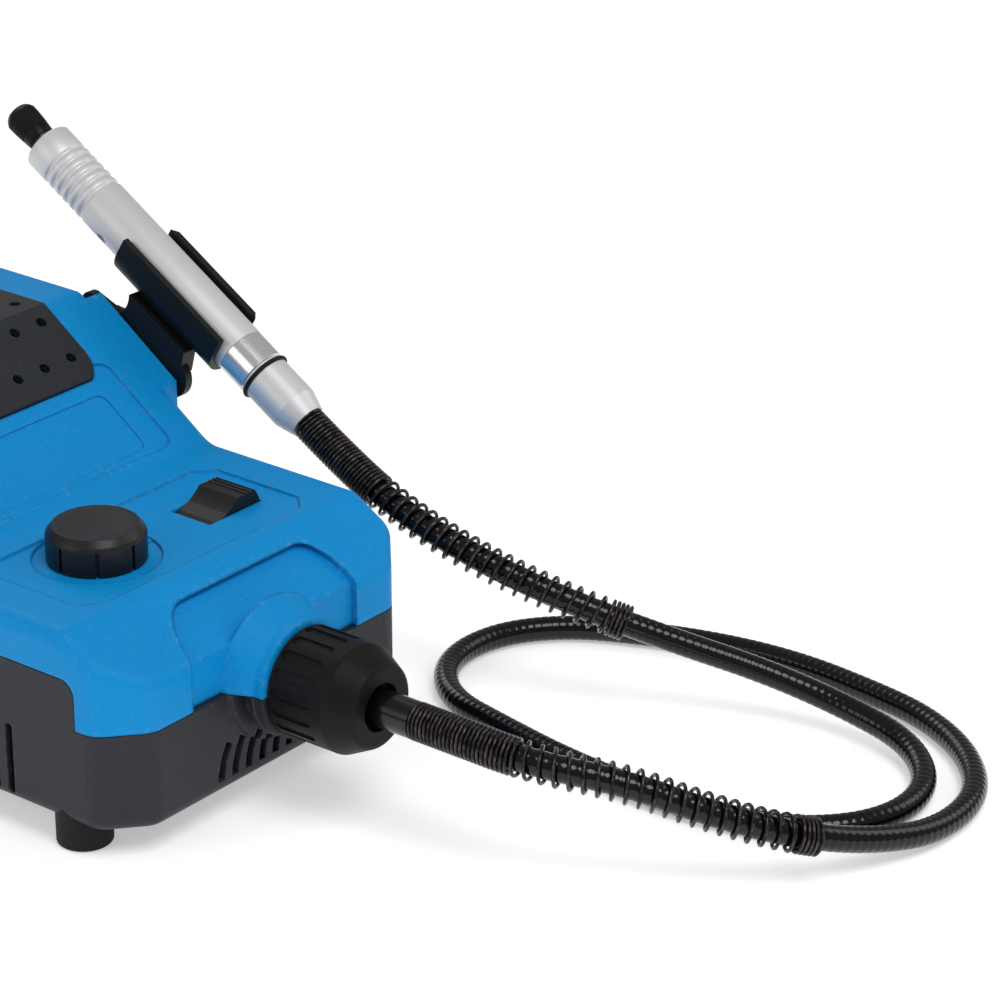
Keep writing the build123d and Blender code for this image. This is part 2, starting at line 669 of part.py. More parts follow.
def base_ferrule():
    """Plain ferrule at the shaft's end, with the flange that the nut clamps."""
    ferrule = along_y(FERRULE_R, FERRULE_BACK, FERRULE_END)
    ferrule += along_y(FERRULE_FLANGE_R, FERRULE_BACK, FERRULE_BACK - FERRULE_FLANGE)
    ferrule -= along_y(CORE_R + 1.6, FERRULE_BACK + 1, SPINDLE_FRONT - 5)
    return ferrule - along_y(CORE_R + 0.8, FERRULE_BACK, FERRULE_END - 1)


def shaft_coupler():
    """Sleeve that joins the motor shaft to the drive spindle, with two grub screw holes."""
    back = COUPLER_FRONT + COUPLER_LENGTH
    middle = SPINDLE_BACK + 0.4
    coupler = along_y(COUPLER_R, COUPLER_FRONT, back)
    coupler -= along_y(BEARING_BORE_R, COUPLER_FRONT - 1, middle)
    coupler -= along_y(MOTOR_SHAFT_R + 0.02, middle - 1, back + 1)
    for y in (COUPLER_FRONT + 4, back - 4):
        coupler -= Pos(0, y, AXIS_Z + COUPLER_R) * Cylinder(1.3, 2 * (COUPLER_R - MOTOR_SHAFT_R))
    return coupler


def motor_shaft():
    return along_y(MOTOR_SHAFT_R, SPINDLE_BACK + 1, BELL_BACK - 1)


def cooling_fan():
    """Radial fan on the motor shaft."""
    back = FAN_FRONT + FAN_LENGTH
    fan = along_y(6.0, FAN_FRONT, back) + along_y(FAN_R, back - 1.2, back)
    for turn in range(FAN_BLADES):
        blade = block(5.0, FAN_R - 0.5, FAN_FRONT + 0.5, back, -0.6, 0.6)
        fan += Pos(0, 0, AXIS_Z) * Rot(0, 360 / FAN_BLADES * turn, 0) * blade
    return fan - along_y(MOTOR_SHAFT_R + 0.02, FAN_FRONT - 1, back + 1)


def motor_can():
    """Drawn steel can with a bearing seat in its front plate."""
    can = along_y(MOTOR_R, MOTOR_FRONT, MOTOR_BACK)
    can -= along_y(MOTOR_R - MOTOR_WALL, MOTOR_FRONT + 2, MOTOR_BACK + 1)
    can += along_y(7.5, MOTOR_FRONT - 1.5, MOTOR_FRONT + 6)
    can -= along_y(MOTOR_BEARING_R, MOTOR_FRONT + 1, MOTOR_FRONT + 7)
    can -= along_y(MOTOR_SHAFT_R + 1.0, MOTOR_FRONT - 3, MOTOR_FRONT + 2)
    for turn in range(6):
        vent = Pos(13, MOTOR_FRONT, 0) * Rot(90, 0, 0) * Cylinder(2.6, 6)
        can -= Pos(0, 0, AXIS_Z) * Rot(0, 60 * turn, 0) * vent
    return can


def motor_end_bell():
    """Plastic rear plate of the motor with its brush holders and rear bearing seat."""
    bell = along_y(MOTOR_R, MOTOR_BACK, BELL_BACK)
    bell += tube_y(MOTOR_R - MOTOR_WALL - SEAT_GAP, MOTOR_R - 4, COMMUTATOR_FRONT, MOTOR_BACK + 1)
    for side in (-1, 1):
        bell += block(*sorted((side * 8, side * (MOTOR_R - 3))), COMMUTATOR_FRONT + 1, MOTOR_BACK + 1,
                      AXIS_Z - 4, AXIS_Z + 4)
    bell -= along_y(MOTOR_BEARING_R, MOTOR_BACK + 2, MOTOR_BACK + 7)
    bell -= along_y(MOTOR_SHAFT_R + 1.0, MOTOR_BACK - 1, BELL_BACK + 1)
    for side in (-1, 1):
        bell -= brush(side, 0.1)
    return bell


def brush(side, gap=0.0):
    """One carbon brush on its side of the commutator, or with a gap its slot."""
    inner, outer = COMMUTATOR_R + 0.1, MOTOR_R - 5
    middle = (COMMUTATOR_FRONT + MOTOR_BACK) / 2
    return block(*sorted((side * inner, side * (outer + gap))), middle - 3 - gap, middle + 3 + gap,
                 AXIS_Z - 2.5 - gap, AXIS_Z + 2.5 + gap)


def motor_bearings():
    bearings = Part()
    for front in (MOTOR_FRONT + 1.2, MOTOR_BACK + 2.2):
        place = Pos(0, front + 2, AXIS_Z) * Rot(90, 0, 0)
        bearings += place * ball_bearing(MOTOR_BEARING_R - 0.02, MOTOR_SHAFT_R + RUN_FIT, 4)
    return bearings


def magnets():
    ring = tube_y(MOTOR_R - MOTOR_WALL - 0.05, MOTOR_R - MOTOR_WALL - MAGNET_THICK,
                  MOTOR_FRONT + 7, COMMUTATOR_FRONT - 1)
    return ring - block(-6, 6, MOTOR_FRONT, MOTOR_BACK, 0, 2 * AXIS_Z)


def armature_core():
    """Slotted laminated core of the motor's armature."""
    core = along_y(ARMATURE_R, MOTOR_FRONT + 10, COMMUTATOR_FRONT - 4)
    for turn in range(5):
        slot = block(7, ARMATURE_R + 1, MOTOR_FRONT, MOTOR_BACK, -1.4, 1.4)
        core -= Pos(0, 0, AXIS_Z) * Rot(0, 72 * turn, 0) * slot
    return core - along_y(MOTOR_SHAFT_R, MOTOR_FRONT, MOTOR_BACK)


def armature_windings():
    outer, inner = ARMATURE_R - 1.5, MOTOR_SHAFT_R + 1.5
    front = tube_y(outer, inner, MOTOR_FRONT + 6.6, MOTOR_FRONT + 9.9)
    return front + tube_y(outer, inner, COMMUTATOR_FRONT - 3.9, COMMUTATOR_FRONT - 0.8)


def commutator():
    body = along_y(COMMUTATOR_R, COMMUTATOR_FRONT - 0.4, MOTOR_BACK - 0.5)
    for turn in range(5):
        groove = block(COMMUTATOR_R - 0.6, COMMUTATOR_R + 1, MOTOR_FRONT, MOTOR_BACK + 1, -0.3, 0.3)
        body -= Pos(0, 0, AXIS_Z) * Rot(0, 72 * turn, 0) * groove
    return body - along_y(MOTOR_SHAFT_R, MOTOR_FRONT, MOTOR_BACK + 1)


# ---- controls ----
def speed_knob():
    """Round knob with a dished top, narrow slots and shallow finger flutes."""
    base = DECK_Z - 2 * DECK_RECESS + 0.5
    top = base + KNOB_HEIGHT
    profile = make_face(Polyline((0, base), (KNOB_R, base), (KNOB_R - 0.5, top - 3.0),
                                 (KNOB_TOP_R, top), (0, top), close=True))
    corner = profile.vertices().filter_by(lambda v: v.Y > base + 5 and v.X > KNOB_TOP_R + 1)
    profile = fillet(corner, 3.0)
    rim = profile.vertices().filter_by(lambda v: v.Y > top - 0.1 and v.X > KNOB_TOP_R - 2)
    profile = fillet(rim, 0.8)
    knob = revolve(Plane.XZ * profile, Axis.Z)
    dish = 55.0
    knob -= Pos(0, 0, top - 0.8 + dish) * Sphere(dish)
    knob -= Pos(0, 0, base) * Cylinder(KNOB_R - 2.2, 2 * (KNOB_HEIGHT - 3.5))
    knob += Pos(0, 0, (base + top - 3) / 2) * Cylinder(POT_SHAFT_R + 2, top - 3 - base)
    for turn in range(KNOB_FLUTES):
        angle = 360 / KNOB_FLUTES * turn
        slot = Pos(KNOB_R, 0, base + 4.5) * Box(3.0, 1.3, 10.0)
        flute = Pos(KNOB_R + 10.2, 0, base + 3.4) * Cylinder(11, 9)
        knob -= Rot(0, 0, angle) * slot
        knob -= Rot(0, 0, angle + 180 / KNOB_FLUTES) * flute
    knob -= Pos(0, 0, base) * Cylinder(POT_SHAFT_R + 0.02, 2 * (KNOB_HEIGHT - 4))
    return Pos(KNOB_X, KNOB_Y, 0) * knob


def potentiometer_body():
    """Control behind the knob: a can under the deck and a threaded bush through it."""
    under = DECK_Z - WALL - SEAT_GAP
    can = Pos(0, 0, under - POT_HEIGHT / 2) * Cylinder(POT_R, POT_HEIGHT)
    bush_top = DECK_Z - 2 * DECK_RECESS
    bush = Pos(0, 0, (under + bush_top) / 2) * Cylinder(POT_BUSH_R, bush_top - under)
    body = can + bush - Pos(0, 0, under) * Cylinder(POT_SHAFT_R + RUN_FIT, 2 * (POT_HEIGHT - 2))
    return Pos(KNOB_X, KNOB_Y, 0) * body


def potentiometer_shaft():
    """Shaft from inside the control up into the knob."""
    low = DECK_Z - WALL - SEAT_GAP - POT_HEIGHT + 2.5
    high = DECK_Z - 2 * DECK_RECESS + KNOB_HEIGHT - 4
    return Pos(KNOB_X, KNOB_Y, (low + high) / 2) * Cylinder(POT_SHAFT_R, high - low)


def power_rocker():
    """Rocker with one end flush and a raised wedge with grip grooves at the other."""
    half, top = ROCKER_LENGTH / 2, DECK_Z - DECK_RECESS
    low = top - 4.2
    crest = top + ROCKER_RISE
    outline = make_face([
        *Polyline((-half + 4, top - 0.9), (-half, top - 1.2), (-half, low), (half, low),
                  (half, top + 0.4), (half - 1.8, crest - 0.7), (half - 3.0, crest),
                  (half - 12.0, crest)).edges(),
        ThreePointArc((half - 12.0, crest), (half - 15.2, top + 2.5), (half - 18.0, top + 0.8)),
        Line((half - 18.0, top + 0.8), (-half + 4, top - 0.9)),
    ])
    body = extrude(Plane.XZ.offset(-ROCKER_WIDTH / 2) * outline, ROCKER_WIDTH)
    reach = Rot(90, 0, 0) * Cylinder(half + ROCKER_GAP - 0.15, ROCKER_WIDTH)
    body &= Pos(0, 0, ROCKER_PIVOT_Z) * reach
    body += Pos(0, 0, ROCKER_PIVOT_Z - 1.0) * Rot(90, 0, 0) * Cylinder(3.2, ROCKER_WIDTH)
    for step in range(3):
        body -= block(half - 8.2 + step * 2.2, half - 7.5 + step * 2.2, -ROCKER_WIDTH, ROCKER_WIDTH,
                      crest - 0.5, crest + 1)
    body -= Pos(0, 0, ROCKER_PIVOT_Z) * Rot(90, 0, 0) * Cylinder(ROCKER_PIN_R + RUN_FIT, 40)
    return Pos(ROCKER_X, ROCKER_Y, 0) * body


def rocker_pin():
    length = ROCKER_WIDTH + 2 * ROCKER_GAP + 2 * SWITCH_WALL
    pin = Rot(90, 0, 0) * Cylinder(ROCKER_PIN_R, length - 0.2)
    return Pos(ROCKER_X, ROCKER_Y, ROCKER_PIVOT_Z) * pin


def switch_body():
    """Switch housing under the deck: an open cup over a block with three terminals."""
    x, y = ROCKER_LENGTH / 2 + ROCKER_GAP, ROCKER_WIDTH / 2 + ROCKER_GAP
    top = DECK_Z - WALL - SEAT_GAP
    cup_floor = ROCKER_PIVOT_Z - 7.0
    bottom = top - SWITCH_DEPTH + 4
    body = block(-x - SWITCH_WALL, x + SWITCH_WALL, -y - SWITCH_WALL, y + SWITCH_WALL, bottom, top)
    body -= block(-x, x, -y, y, cup_floor, top + 1)
    for side in (-1, 0, 1):
        body += block(side * 8 - 0.4, side * 8 + 0.4, -3, 3, bottom - 3.5, bottom)
    body -= Pos(0, 0, ROCKER_PIVOT_Z) * Rot(90, 0, 0) * Cylinder(ROCKER_PIN_R + RUN_FIT, 40)
    return Pos(ROCKER_X, ROCKER_Y, 0) * body


def control_board():
    return block(BOARD_X, BOARD_X + BOARD_THICK, BOARD_FRONT + 0.1, BOARD_BACK - 0.1,
                 BOARD_BOTTOM + 0.1, BOARD_TOP)


def board_parts():
    """Heat sink, capacitor and connector on the board's inner side."""
    sink = block(BOARD_X - 9, BOARD_X, 56, 76, 26, 46)
    for fin in range(4):
        sink -= block(BOARD_X - 10, BOARD_X - 3, 58.5 + fin * 4.5, 60.5 + fin * 4.5, 25, 47)
    can = Pos(BOARD_X - 7, 88, 34) * Rot(0, 90, 0) * Cylinder(5, 14)
    plug = block(BOARD_X - 6, BOARD_X, 96, 104, 40, 52)
    return sink + can + plug


# ---- battery ----
def battery_case():
    """Sliding battery case, open at its back, with a slot for the station's blades."""
    back = CASE_DEPTH - CAP_LENGTH
    case = block(-BATTERY_HALF, BATTERY_HALF, BATTERY_FRONT, back, BATTERY_BOTTOM, BATTERY_TOP)
    case = fillet(case.edges().filter_by(Axis.Y), 4)
    w = BATTERY_WALL
    case -= block(w - BATTERY_HALF, BATTERY_HALF - w, BATTERY_FRONT + w, back + 1,
                  BATTERY_BOTTOM + w, BATTERY_TOP - w)
    return case - block(-12, 12, BATTERY_FRONT - 1, BATTERY_FRONT + 3, TERMINAL_BOTTOM + 2,
                        TERMINAL_TOP - 2)


def battery_end_cap():
    """Back end of the battery with a finger recess and the button's pocket."""
    front = CASE_DEPTH - CAP_LENGTH
    cap = block(-BATTERY_HALF, BATTERY_HALF, front, CASE_DEPTH, BATTERY_BOTTOM, BATTERY_TOP)
    cap = fillet(cap.edges().filter_by(Axis.Y), 4)
    cap = fillet(cap.faces().sort_by(Axis.Y)[-1].edges(), 1.5)
    grip = Pos(0, CASE_DEPTH + 8, BATTERY_BOTTOM + 20) * Rot(0, 90, 0) * Cylinder(13, 44)
    cap -= grip
    pocket = 0.35
    low, high = BUTTON_Z - BUTTON_HEIGHT / 2 - pocket, BUTTON_Z + BUTTON_HEIGHT / 2 + pocket
    return cap - block(-BUTTON_HALF - pocket, BUTTON_HALF + pocket, front + 2, CASE_DEPTH + 1, low, high)


def battery_release_button():
    front = CASE_DEPTH - CAP_LENGTH + 2 + BUTTON_TRAVEL + 0.3
    button = block(-BUTTON_HALF, BUTTON_HALF, front, CASE_DEPTH - 0.6,
                   BUTTON_Z - BUTTON_HEIGHT / 2, BUTTON_Z + BUTTON_HEIGHT / 2)
    button = fillet(button.edges().filter_by(Axis.Y), 2)
    for rib in range(4):
        z = BUTTON_Z - 4.2 + rib * 2.8
        button -= block(-BUTTON_HALF + 3, BUTTON_HALF - 3, CASE_DEPTH - 1.2, CASE_DEPTH, z - 0.5, z + 0.5)
    return button


def battery_cells():
    """Five cells across the case, three below and two nested above."""
    low = BATTERY_BOTTOM + BATTERY_WALL + CELL_R + 0.1
    pitch = 2 * CELL_R + 0.6
    rise = (pitch ** 2 - (pitch / 2) ** 2) ** 0.5
    first = BATTERY_FRONT + BATTERY_WALL + CELL_R + 9
    places = [(first + i * pitch, low) for i in range(3)]
    places += [(first + (i + 0.5) * pitch, low + rise) for i in range(2)]
    cells = Part()
    for y, z in places:
        can = Cylinder(CELL_R, CELL_LENGTH) + Cylinder(3, CELL_LENGTH + 1.6)
        cells += Pos(0, y, z) * Rot(0, 90, 0) * can
    return cells


def terminal_block():
    """Station's terminal block, with three blades that reach into the battery."""
    front, back = TERMINAL_FRONT, BATTERY_FRONT - 0.4
    terminal = block(-15, 15, front, back, TERMINAL_BOTTOM + 0.1, TERMINAL_TOP)
    for x in (-8, 0, 8):
        terminal += block(x - 0.4, x + 0.4, back - 1, back + 8, TERMINAL_BOTTOM + 4, TERMINAL_TOP - 4)
    return terminal


# ---- handpiece, drawn standing on its tail ----
HAND = Plane(origin=(HAND_X, TAIL_Y, TAIL_Z), x_dir=(1, 0, 0),
             z_dir=(0, cos(radians(HAND_TILT)), sin(radians(HAND_TILT))))


def upright(radius, low, high):
    """A round bar on the handpiece's own axis."""
    return Pos(0, 0, (low + high) / 2) * Cylinder(radius, high - low)


def from_nose(distance):
    """Height above the tail of a place measured back from the nose."""
    return HAND_LENGTH - distance


def handpiece_tail():
    """Tapered rear end, with a groove for the O-ring and a bore for the drive."""
    tail = Pos(0, 0, TAIL_CONE / 2) * Cone(TAIL_TIP_R, BARREL_R - 0.5, TAIL_CONE)
    tail += upright(BARREL_R - 0.5, TAIL_CONE, TAIL_LENGTH)
    tail += upright(HAND_BORE_R - 0.05, TAIL_LENGTH, TAIL_LENGTH + 8)
    tail -= upright(BARREL_R + 1, TAIL_LENGTH - 2.6, TAIL_LENGTH - 0.8) - upright(
        BARREL_R - 1.2, TAIL_LENGTH - 3, TAIL_LENGTH)
    tail -= upright(HAND_SPINDLE_R + 0.5, 9, TAIL_LENGTH + 9)
    return HAND * (tail - upright(CORE_R + 0.8, -1, 10))


def handpiece_o_ring():
    ring = Torus(BARREL_R - 0.3, 0.85)
    return HAND * Pos(0, 0, TAIL_LENGTH - 1.7) * ring


def lock_ring():
    """Polished ring between the tail and the barrel."""
    ring = upright(BARREL_R, TAIL_LENGTH, TAIL_LENGTH + RING_LENGTH)
    ring = chamfer(ring.edges().filter_by(GeomType.CIRCLE), 0.4)
    return HAND * (ring - upright(HAND_BORE_R, TAIL_LENGTH - 1, TAIL_LENGTH + RING_LENGTH + 1))


def handpiece_barrel():
    """Barrel with grip grooves near its front and a hole for the spindle lock pin."""
    low, high = TAIL_LENGTH + RING_LENGTH, from_nose(NOSE_LENGTH)
    barrel = upright(BARREL_R, low, high)
    barrel = chamfer(barrel.edges().group_by(Axis.Z)[-1], 0.8)
    for groove in range(GRIP_GROOVES):
        z = from_nose(GRIP_START + groove * GRIP_PITCH)
        barrel -= upright(BARREL_R + 1, z - 1.0, z + 1.0) - upright(BARREL_R - 0.7, z - 2, z + 2)
    barrel -= upright(HAND_BORE_R, low - 1, high - 3)
    barrel -= upright(HAND_SPINDLE_R + 0.4, low, high + 1)
    hole = Rot(0, 0, LOCK_HOLE_TURN) * Pos(BARREL_R, 0, from_nose(LOCK_HOLE_PLACE)) * Rot(0, 90, 0)
    return HAND * (barrel - hole * Cylinder(LOCK_HOLE_R, BARREL_R))


def handpiece_bearings():
    low = TAIL_LENGTH + RING_LENGTH + 3
    high = from_nose(NOSE_LENGTH) - 3.3 - HAND_BEARING_WIDTH
    bearings = Part()
    for start in (low, high):
        bearing = ball_bearing(HAND_BORE_R - 0.02, HAND_SPINDLE_R + RUN_FIT, HAND_BEARING_WIDTH)
        bearings += HAND * Pos(0, 0, start + HAND_BEARING_WIDTH / 2) * bearing
    return bearings


def handpiece_spindle():
    """Spindle with a slim drive shank, a lock-pin hole and a seat for the collet."""
    front = from_nose(5.5)
    spindle = upright(CORE_R, 0.4, 13) + upright(HAND_SPINDLE_R, 12, front)
    spindle -= upright(COLLET_R, front - COLLET_SEAT, front + 1)
    across = Rot(0, 0, LOCK_HOLE_TURN) * Pos(0, 0, from_nose(LOCK_HOLE_PLACE)) * Rot(0, 90, 0)
    return HAND * (spindle - across * Cylinder(1.6, 3 * HAND_SPINDLE_R))


def collet():
    """Split collet for 3.2 mm shanks."""
    front = from_nose(5.5)
    body = upright(COLLET_R - 0.02, front - COLLET_SEAT + 0.5, front)
    body += Pos(0, 0, front + 1.5) * Cone(COLLET_R + 0.6, COLLET_R - 0.6, 3.0)
    body -= upright(SHANK_R, front - COLLET_SEAT, front + 4)
    for turn in (0, 90):
        cut = Pos(0, 0, front - 1) * Box(0.5, 20, 9.5)
        body -= Rot(0, 0, turn) * cut
    return HAND * body


def collet_nut():
    """Knurled nut over the spindle's end, closing the collet."""
    low, high = from_nose(COLLET_NUT_LENGTH), HAND_LENGTH
    knurl = low + 5.0
    nut = upright(COLLET_NUT_R - 0.3, low, high) + upright(COLLET_NUT_R, knurl, high)
    nut = fillet(nut.edges().filter_by(GeomType.CIRCLE).group_by(Axis.Z)[-1], 1.4)
    front = from_nose(5.5)
    nut -= upright(HAND_SPINDLE_R + 0.05, low - 1, front + 0.3)
    nut -= Pos(0, 0, front + 1.8) * Cone(COLLET_R + 0.9, COLLET_R - 0.3, 3.4)
    nut -= upright(COLLET_R - 0.3, front, high + 1)
    for turn in range(KNURLS):
        notch = Pos(COLLET_NUT_R + 0.1, 0, (knurl + high) / 2) * Rot(0, 0, 45) * Box(0.8, 0.8, 20)
        nut -= Rot(0, 0, 360 / KNURLS * turn) * notch & upright(COLLET_NUT_R + 2, knurl + 0.5, high - 2)
    return HAND * nut


# ---- holder ----
def beside(along, height):
    """Point (y, z) at a distance along the handpiece from its tail and a height off its axis."""
    turn = radians(HAND_TILT)
    return (TAIL_Y + along * cos(turn) - height * sin(turn),
            TAIL_Z + along * sin(turn) + height * cos(turn))


def holder_screw_places():
    """(y, z) of the two screws that fix the holder to the wing."""
    return [(128.0, 98.5), (154.0, 112.5)]


def holder_bracket():
    """Plate, neck and open trough that hold the handpiece beside the casing."""
    inner = BARREL_R + CLIP_GAP
    outer = inner + CLIP_WALL
    trough = Circle(outer) + Pos(0, -CLIP_LIP / 2) * Rectangle(2 * outer, CLIP_LIP)
    trough -= Pos(0, -outer) * Rectangle(3 * outer, 2 * (outer - CLIP_LIP))
    trough -= Circle(inner) + Pos(0, -outer) * Rectangle(2 * inner, 2 * outer)
    length = CLIP_LENGTH + 6
    start = from_nose(CLIP_START - 3 + length)
    clip = HAND * Pos(0, 0, start) * extrude(trough, length)
    short = Pos(outer, 0, start) * Rot(0, 45, 0) * Box(8, 40, 8)
    far = Pos(outer, 0, start + length) * Rot(0, 45, 0) * Box(8, 40, 8)
    clip -= HAND * short
    clip -= HAND * far
    plate = make_hull(CenterArc((127, 99), 8.5, 0, 360).edges()
                      + CenterArc((167, 119), 4.5, 0, 360).edges())
    plate = Pos(WING_OUT + SEAT_GAP, 0, 0) * extrude(Plane.YZ * plate, PLATE_THICK)
    top = 9.5
    neck = make_face([
        *Polyline(beside(84, -top), beside(52, -top), beside(49, -19), (128, 98), (150, 110),
                  beside(90, -24)).edges(),
        ThreePointArc(beside(90, -24), beside(83, -17), beside(84, -top)),
    ])
    left = WING_OUT + SEAT_GAP
    neck = Pos(left, 0, 0) * extrude(Plane.YZ * neck, HAND_LEFT + NECK_THICK - left)
    clear = HAND * extrude(Circle(inner) + Pos(0, -outer) * Rectangle(2 * inner, 2 * outer), HAND_LENGTH)
    bracket = clip + plate + (neck - clear)
    for y, z in holder_screw_places():
        bracket -= Pos(WING_OUT, y, z) * Rot(0, 90, 0) * Cylinder(SCREW_R + 0.2, 40)
        head = WING_OUT + SEAT_GAP + PLATE_THICK
        bracket -= Pos(head + 15, y, z) * Rot(0, 90, 0) * Cylinder(SCREW_HEAD_R + 0.3, 30)
    return bracket


def holder_screws():
    screws = Part()
    head = WING_OUT + SEAT_GAP + PLATE_THICK
    for y, z in holder_screw_places():
        low = WING_OUT - HOLDER_SCREW_DEPTH + 1
        screw = Pos((low + head) / 2, y, z) * Rot(0, 90, 0) * Cylinder(SCREW_R, head - low)
        cap = Pos(head + SCREW_HEAD / 2, y, z) * Rot(0, 90, 0) * Cylinder(SCREW_HEAD_R, SCREW_HEAD)
        socket = Plane(origin=(head + SCREW_HEAD, y, z), z_dir=(1, 0, 0)) * RegularPolygon(1.5, 6)
        screws += screw + cap - extrude(socket, -1.2)
    return screws


# ---- flexible shaft ----
def corner_radii(points):
    """Largest arc for each corner: 0.45 of the shorter run over the tangent of half the turn."""
    radii = []
    for before, here, after in zip(points, points[1:], points[2:]):
        into, out = Vector(here) - Vector(before), Vector(after) - Vector(here)
        turn = radians(into.get_angle(out))
        radii.append(0.45 * min(into.length, out.length) / tan(turn / 2))
    return radii


def route_path():
    radii = corner_radii(ROUTE)
    print("route radii", [round(r) for r in radii])
    return FilletPolyline(*ROUTE, radius=radii)


def swept(path, section):
    """A section drawn on the plane at the start of a path, swept along it."""
    start = Plane(origin=path @ 0, z_dir=path % 0)
    return sweep(start * section, path=path)


def flexible_shaft():
    """The sleeve, its core and the wound guards at both ends, as name and shape."""
    path = route_path()
    length = path.length
    tube = swept(path, Circle(SLEEVE_R) - Circle(SLEEVE_BORE_R))
    print("sleeve length", round(length, 1), "volume over section times length",
          round(tube.volume / (pi * (SLEEVE_R ** 2 - SLEEVE_BORE_R ** 2) * length), 5))
    core = swept(path, Circle(CORE_R))
    share = GUARD_LENGTH / length
    ring = Circle(GUARD_R) - Circle(GUARD_BORE_R)
    first = swept(Wire(path.wrapped).trim(0, share), ring)
    last = swept(Wire(path.wrapped).trim(1 - share, 1), ring)
    core += along_y(CORE_R, SPINDLE_FRONT - 4.7, FERRULE_END)
    return {"flex_sleeve": tube, "flex_core": core, "base_spring_guard": first,
            "handpiece_spring_guard": last}


def main():
    os.makedirs("parts", exist_ok=True)
    wall, form = casing_wall(), rounded_casing()
    pieces = {
        "lower_shell": lower_shell(wall, form),
        "upper_shell": upper_shell(wall, form),
        "rubber_feet": rubber_feet(form),
        "case_screws": case_screws(),
        "bit_rack_panel": bit_rack_panel(),
        "nose_collar": nose_collar(),
        "spindle_bearings": spindle_bearings(),
        "drive_spindle": drive_spindle(),
        "core_drive_tang": core_drive_tang(),
        "coupling_nut": coupling_nut(),
        "thrust_ring": thrust_ring(),
        "base_ferrule": base_ferrule(),
        "shaft_coupler": shaft_coupler(),
        "motor_shaft": motor_shaft(),
        "cooling_fan": cooling_fan(),
        "motor_can": motor_can(),
        "motor_end_bell": motor_end_bell(),
        "motor_brushes": brush(-1) + brush(1),
        "motor_bearings": motor_bearings(),
        "motor_magnets": magnets(),
        "armature_core": armature_core(),
        "armature_windings": armature_windings(),
        "commutator": commutator(),
        "speed_knob": speed_knob(),
        "potentiometer_body": potentiometer_body(),
        "potentiometer_shaft": potentiometer_shaft(),
        "power_rocker": power_rocker(),
        "rocker_pin": rocker_pin(),
        "switch_body": switch_body(),
        "control_board": control_board(),
        "board_parts": board_parts(),
        "battery_case": battery_case(),
        "battery_end_cap": battery_end_cap(),
        "battery_release_button": battery_release_button(),
        "battery_cells": battery_cells(),
        "terminal_block": terminal_block(),
        "handpiece_tail": handpiece_tail(),
        "handpiece_o_ring": handpiece_o_ring(),
        "lock_ring": lock_ring(),
        "handpiece_barrel": handpiece_barrel(),
        "handpiece_bearings": handpiece_bearings(),
        "handpiece_spindle": handpiece_spindle(),
        "collet": collet(),
        "collet_nut": collet_nut(),
        "holder_bracket": holder_bracket(),
        "holder_screws": holder_screws(),
        **flexible_shaft(),
    }
    for node, shape in pieces.items():
        save(node, shape)


if __name__ == "__main__":
    main()
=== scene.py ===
"""Looks of a bench rotary tool station with a flexible shaft and a handpiece in its side holder."""
import logging
import math
from dataclasses import dataclass, field
from enum import Enum
from typing import Callable, Iterable, Optional, Sequence

import bmesh
import bpy
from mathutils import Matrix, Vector


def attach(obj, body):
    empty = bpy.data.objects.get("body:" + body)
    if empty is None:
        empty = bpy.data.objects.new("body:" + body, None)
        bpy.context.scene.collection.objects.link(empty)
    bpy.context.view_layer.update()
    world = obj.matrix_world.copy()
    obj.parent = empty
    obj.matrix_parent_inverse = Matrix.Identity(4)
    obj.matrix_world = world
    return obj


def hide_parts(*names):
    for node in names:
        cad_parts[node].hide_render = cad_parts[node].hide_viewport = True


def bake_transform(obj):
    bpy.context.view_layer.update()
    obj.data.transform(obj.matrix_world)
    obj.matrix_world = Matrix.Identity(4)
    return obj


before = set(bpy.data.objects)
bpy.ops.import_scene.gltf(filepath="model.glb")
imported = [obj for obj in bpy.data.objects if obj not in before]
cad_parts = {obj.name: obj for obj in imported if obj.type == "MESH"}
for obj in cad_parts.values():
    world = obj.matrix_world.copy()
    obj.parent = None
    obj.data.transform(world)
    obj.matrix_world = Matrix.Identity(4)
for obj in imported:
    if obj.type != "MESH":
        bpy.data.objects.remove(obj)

Colour = tuple[float, float, float]
Point = tuple[float, float, float]
Piece = bpy.types.Object
Material = bpy.types.Material
Socket = bpy.types.NodeSocket

LOG = logging.getLogger("station")
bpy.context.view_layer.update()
MM = 0.001

# Middle of the footprint, in the millimetres that the station is drawn in.
FOOTPRINT_MIDDLE = (16.4, 88.3)
HAND_TILT = math.radians(32.0)
HAND_TAIL = (98.0, 70.2, 90.8)
HAND_AXIS = (0.0, math.cos(HAND_TILT), math.sin(HAND_TILT))
HAND_LENGTH = 171.4


def at(x: float, y: float, z: float) -> Vector:
    """Place a point of the drawing in the frame.

    Args:
        x: Millimetres to the right of the drive axis.
        y: Millimetres behind the flat front face.
        z: Millimetres above the table.

    Returns:
        The point in the frame, in metres.
    """
    return Vector(((x - FOOTPRINT_MIDDLE[0]) * MM, (y - FOOTPRINT_MIDDLE[1]) * MM, z * MM))


def linear(red: float, green: float, blue: float) -> Colour:
    """Turn a display colour of 0 to 255 into linear light.

    Args:
        red: Red, 0 to 255.
        green: Green, 0 to 255.
        blue: Blue, 0 to 255.

    Returns:
        The colour as linear values of 0 to 1.
    """
    def channel(value: float) -> float:
        """Linear light of one channel."""
        share = value / 255
        return share / 12.92 if share <= 0.04045 else ((share + 0.055) / 1.055) ** 2.4
    return channel(red), channel(green), channel(blue)


def shade(colour: Colour, factor: float) -> Colour:
    """Lighten or darken a colour by a factor."""
    return tuple(min(1.0, part * factor) for part in colour)


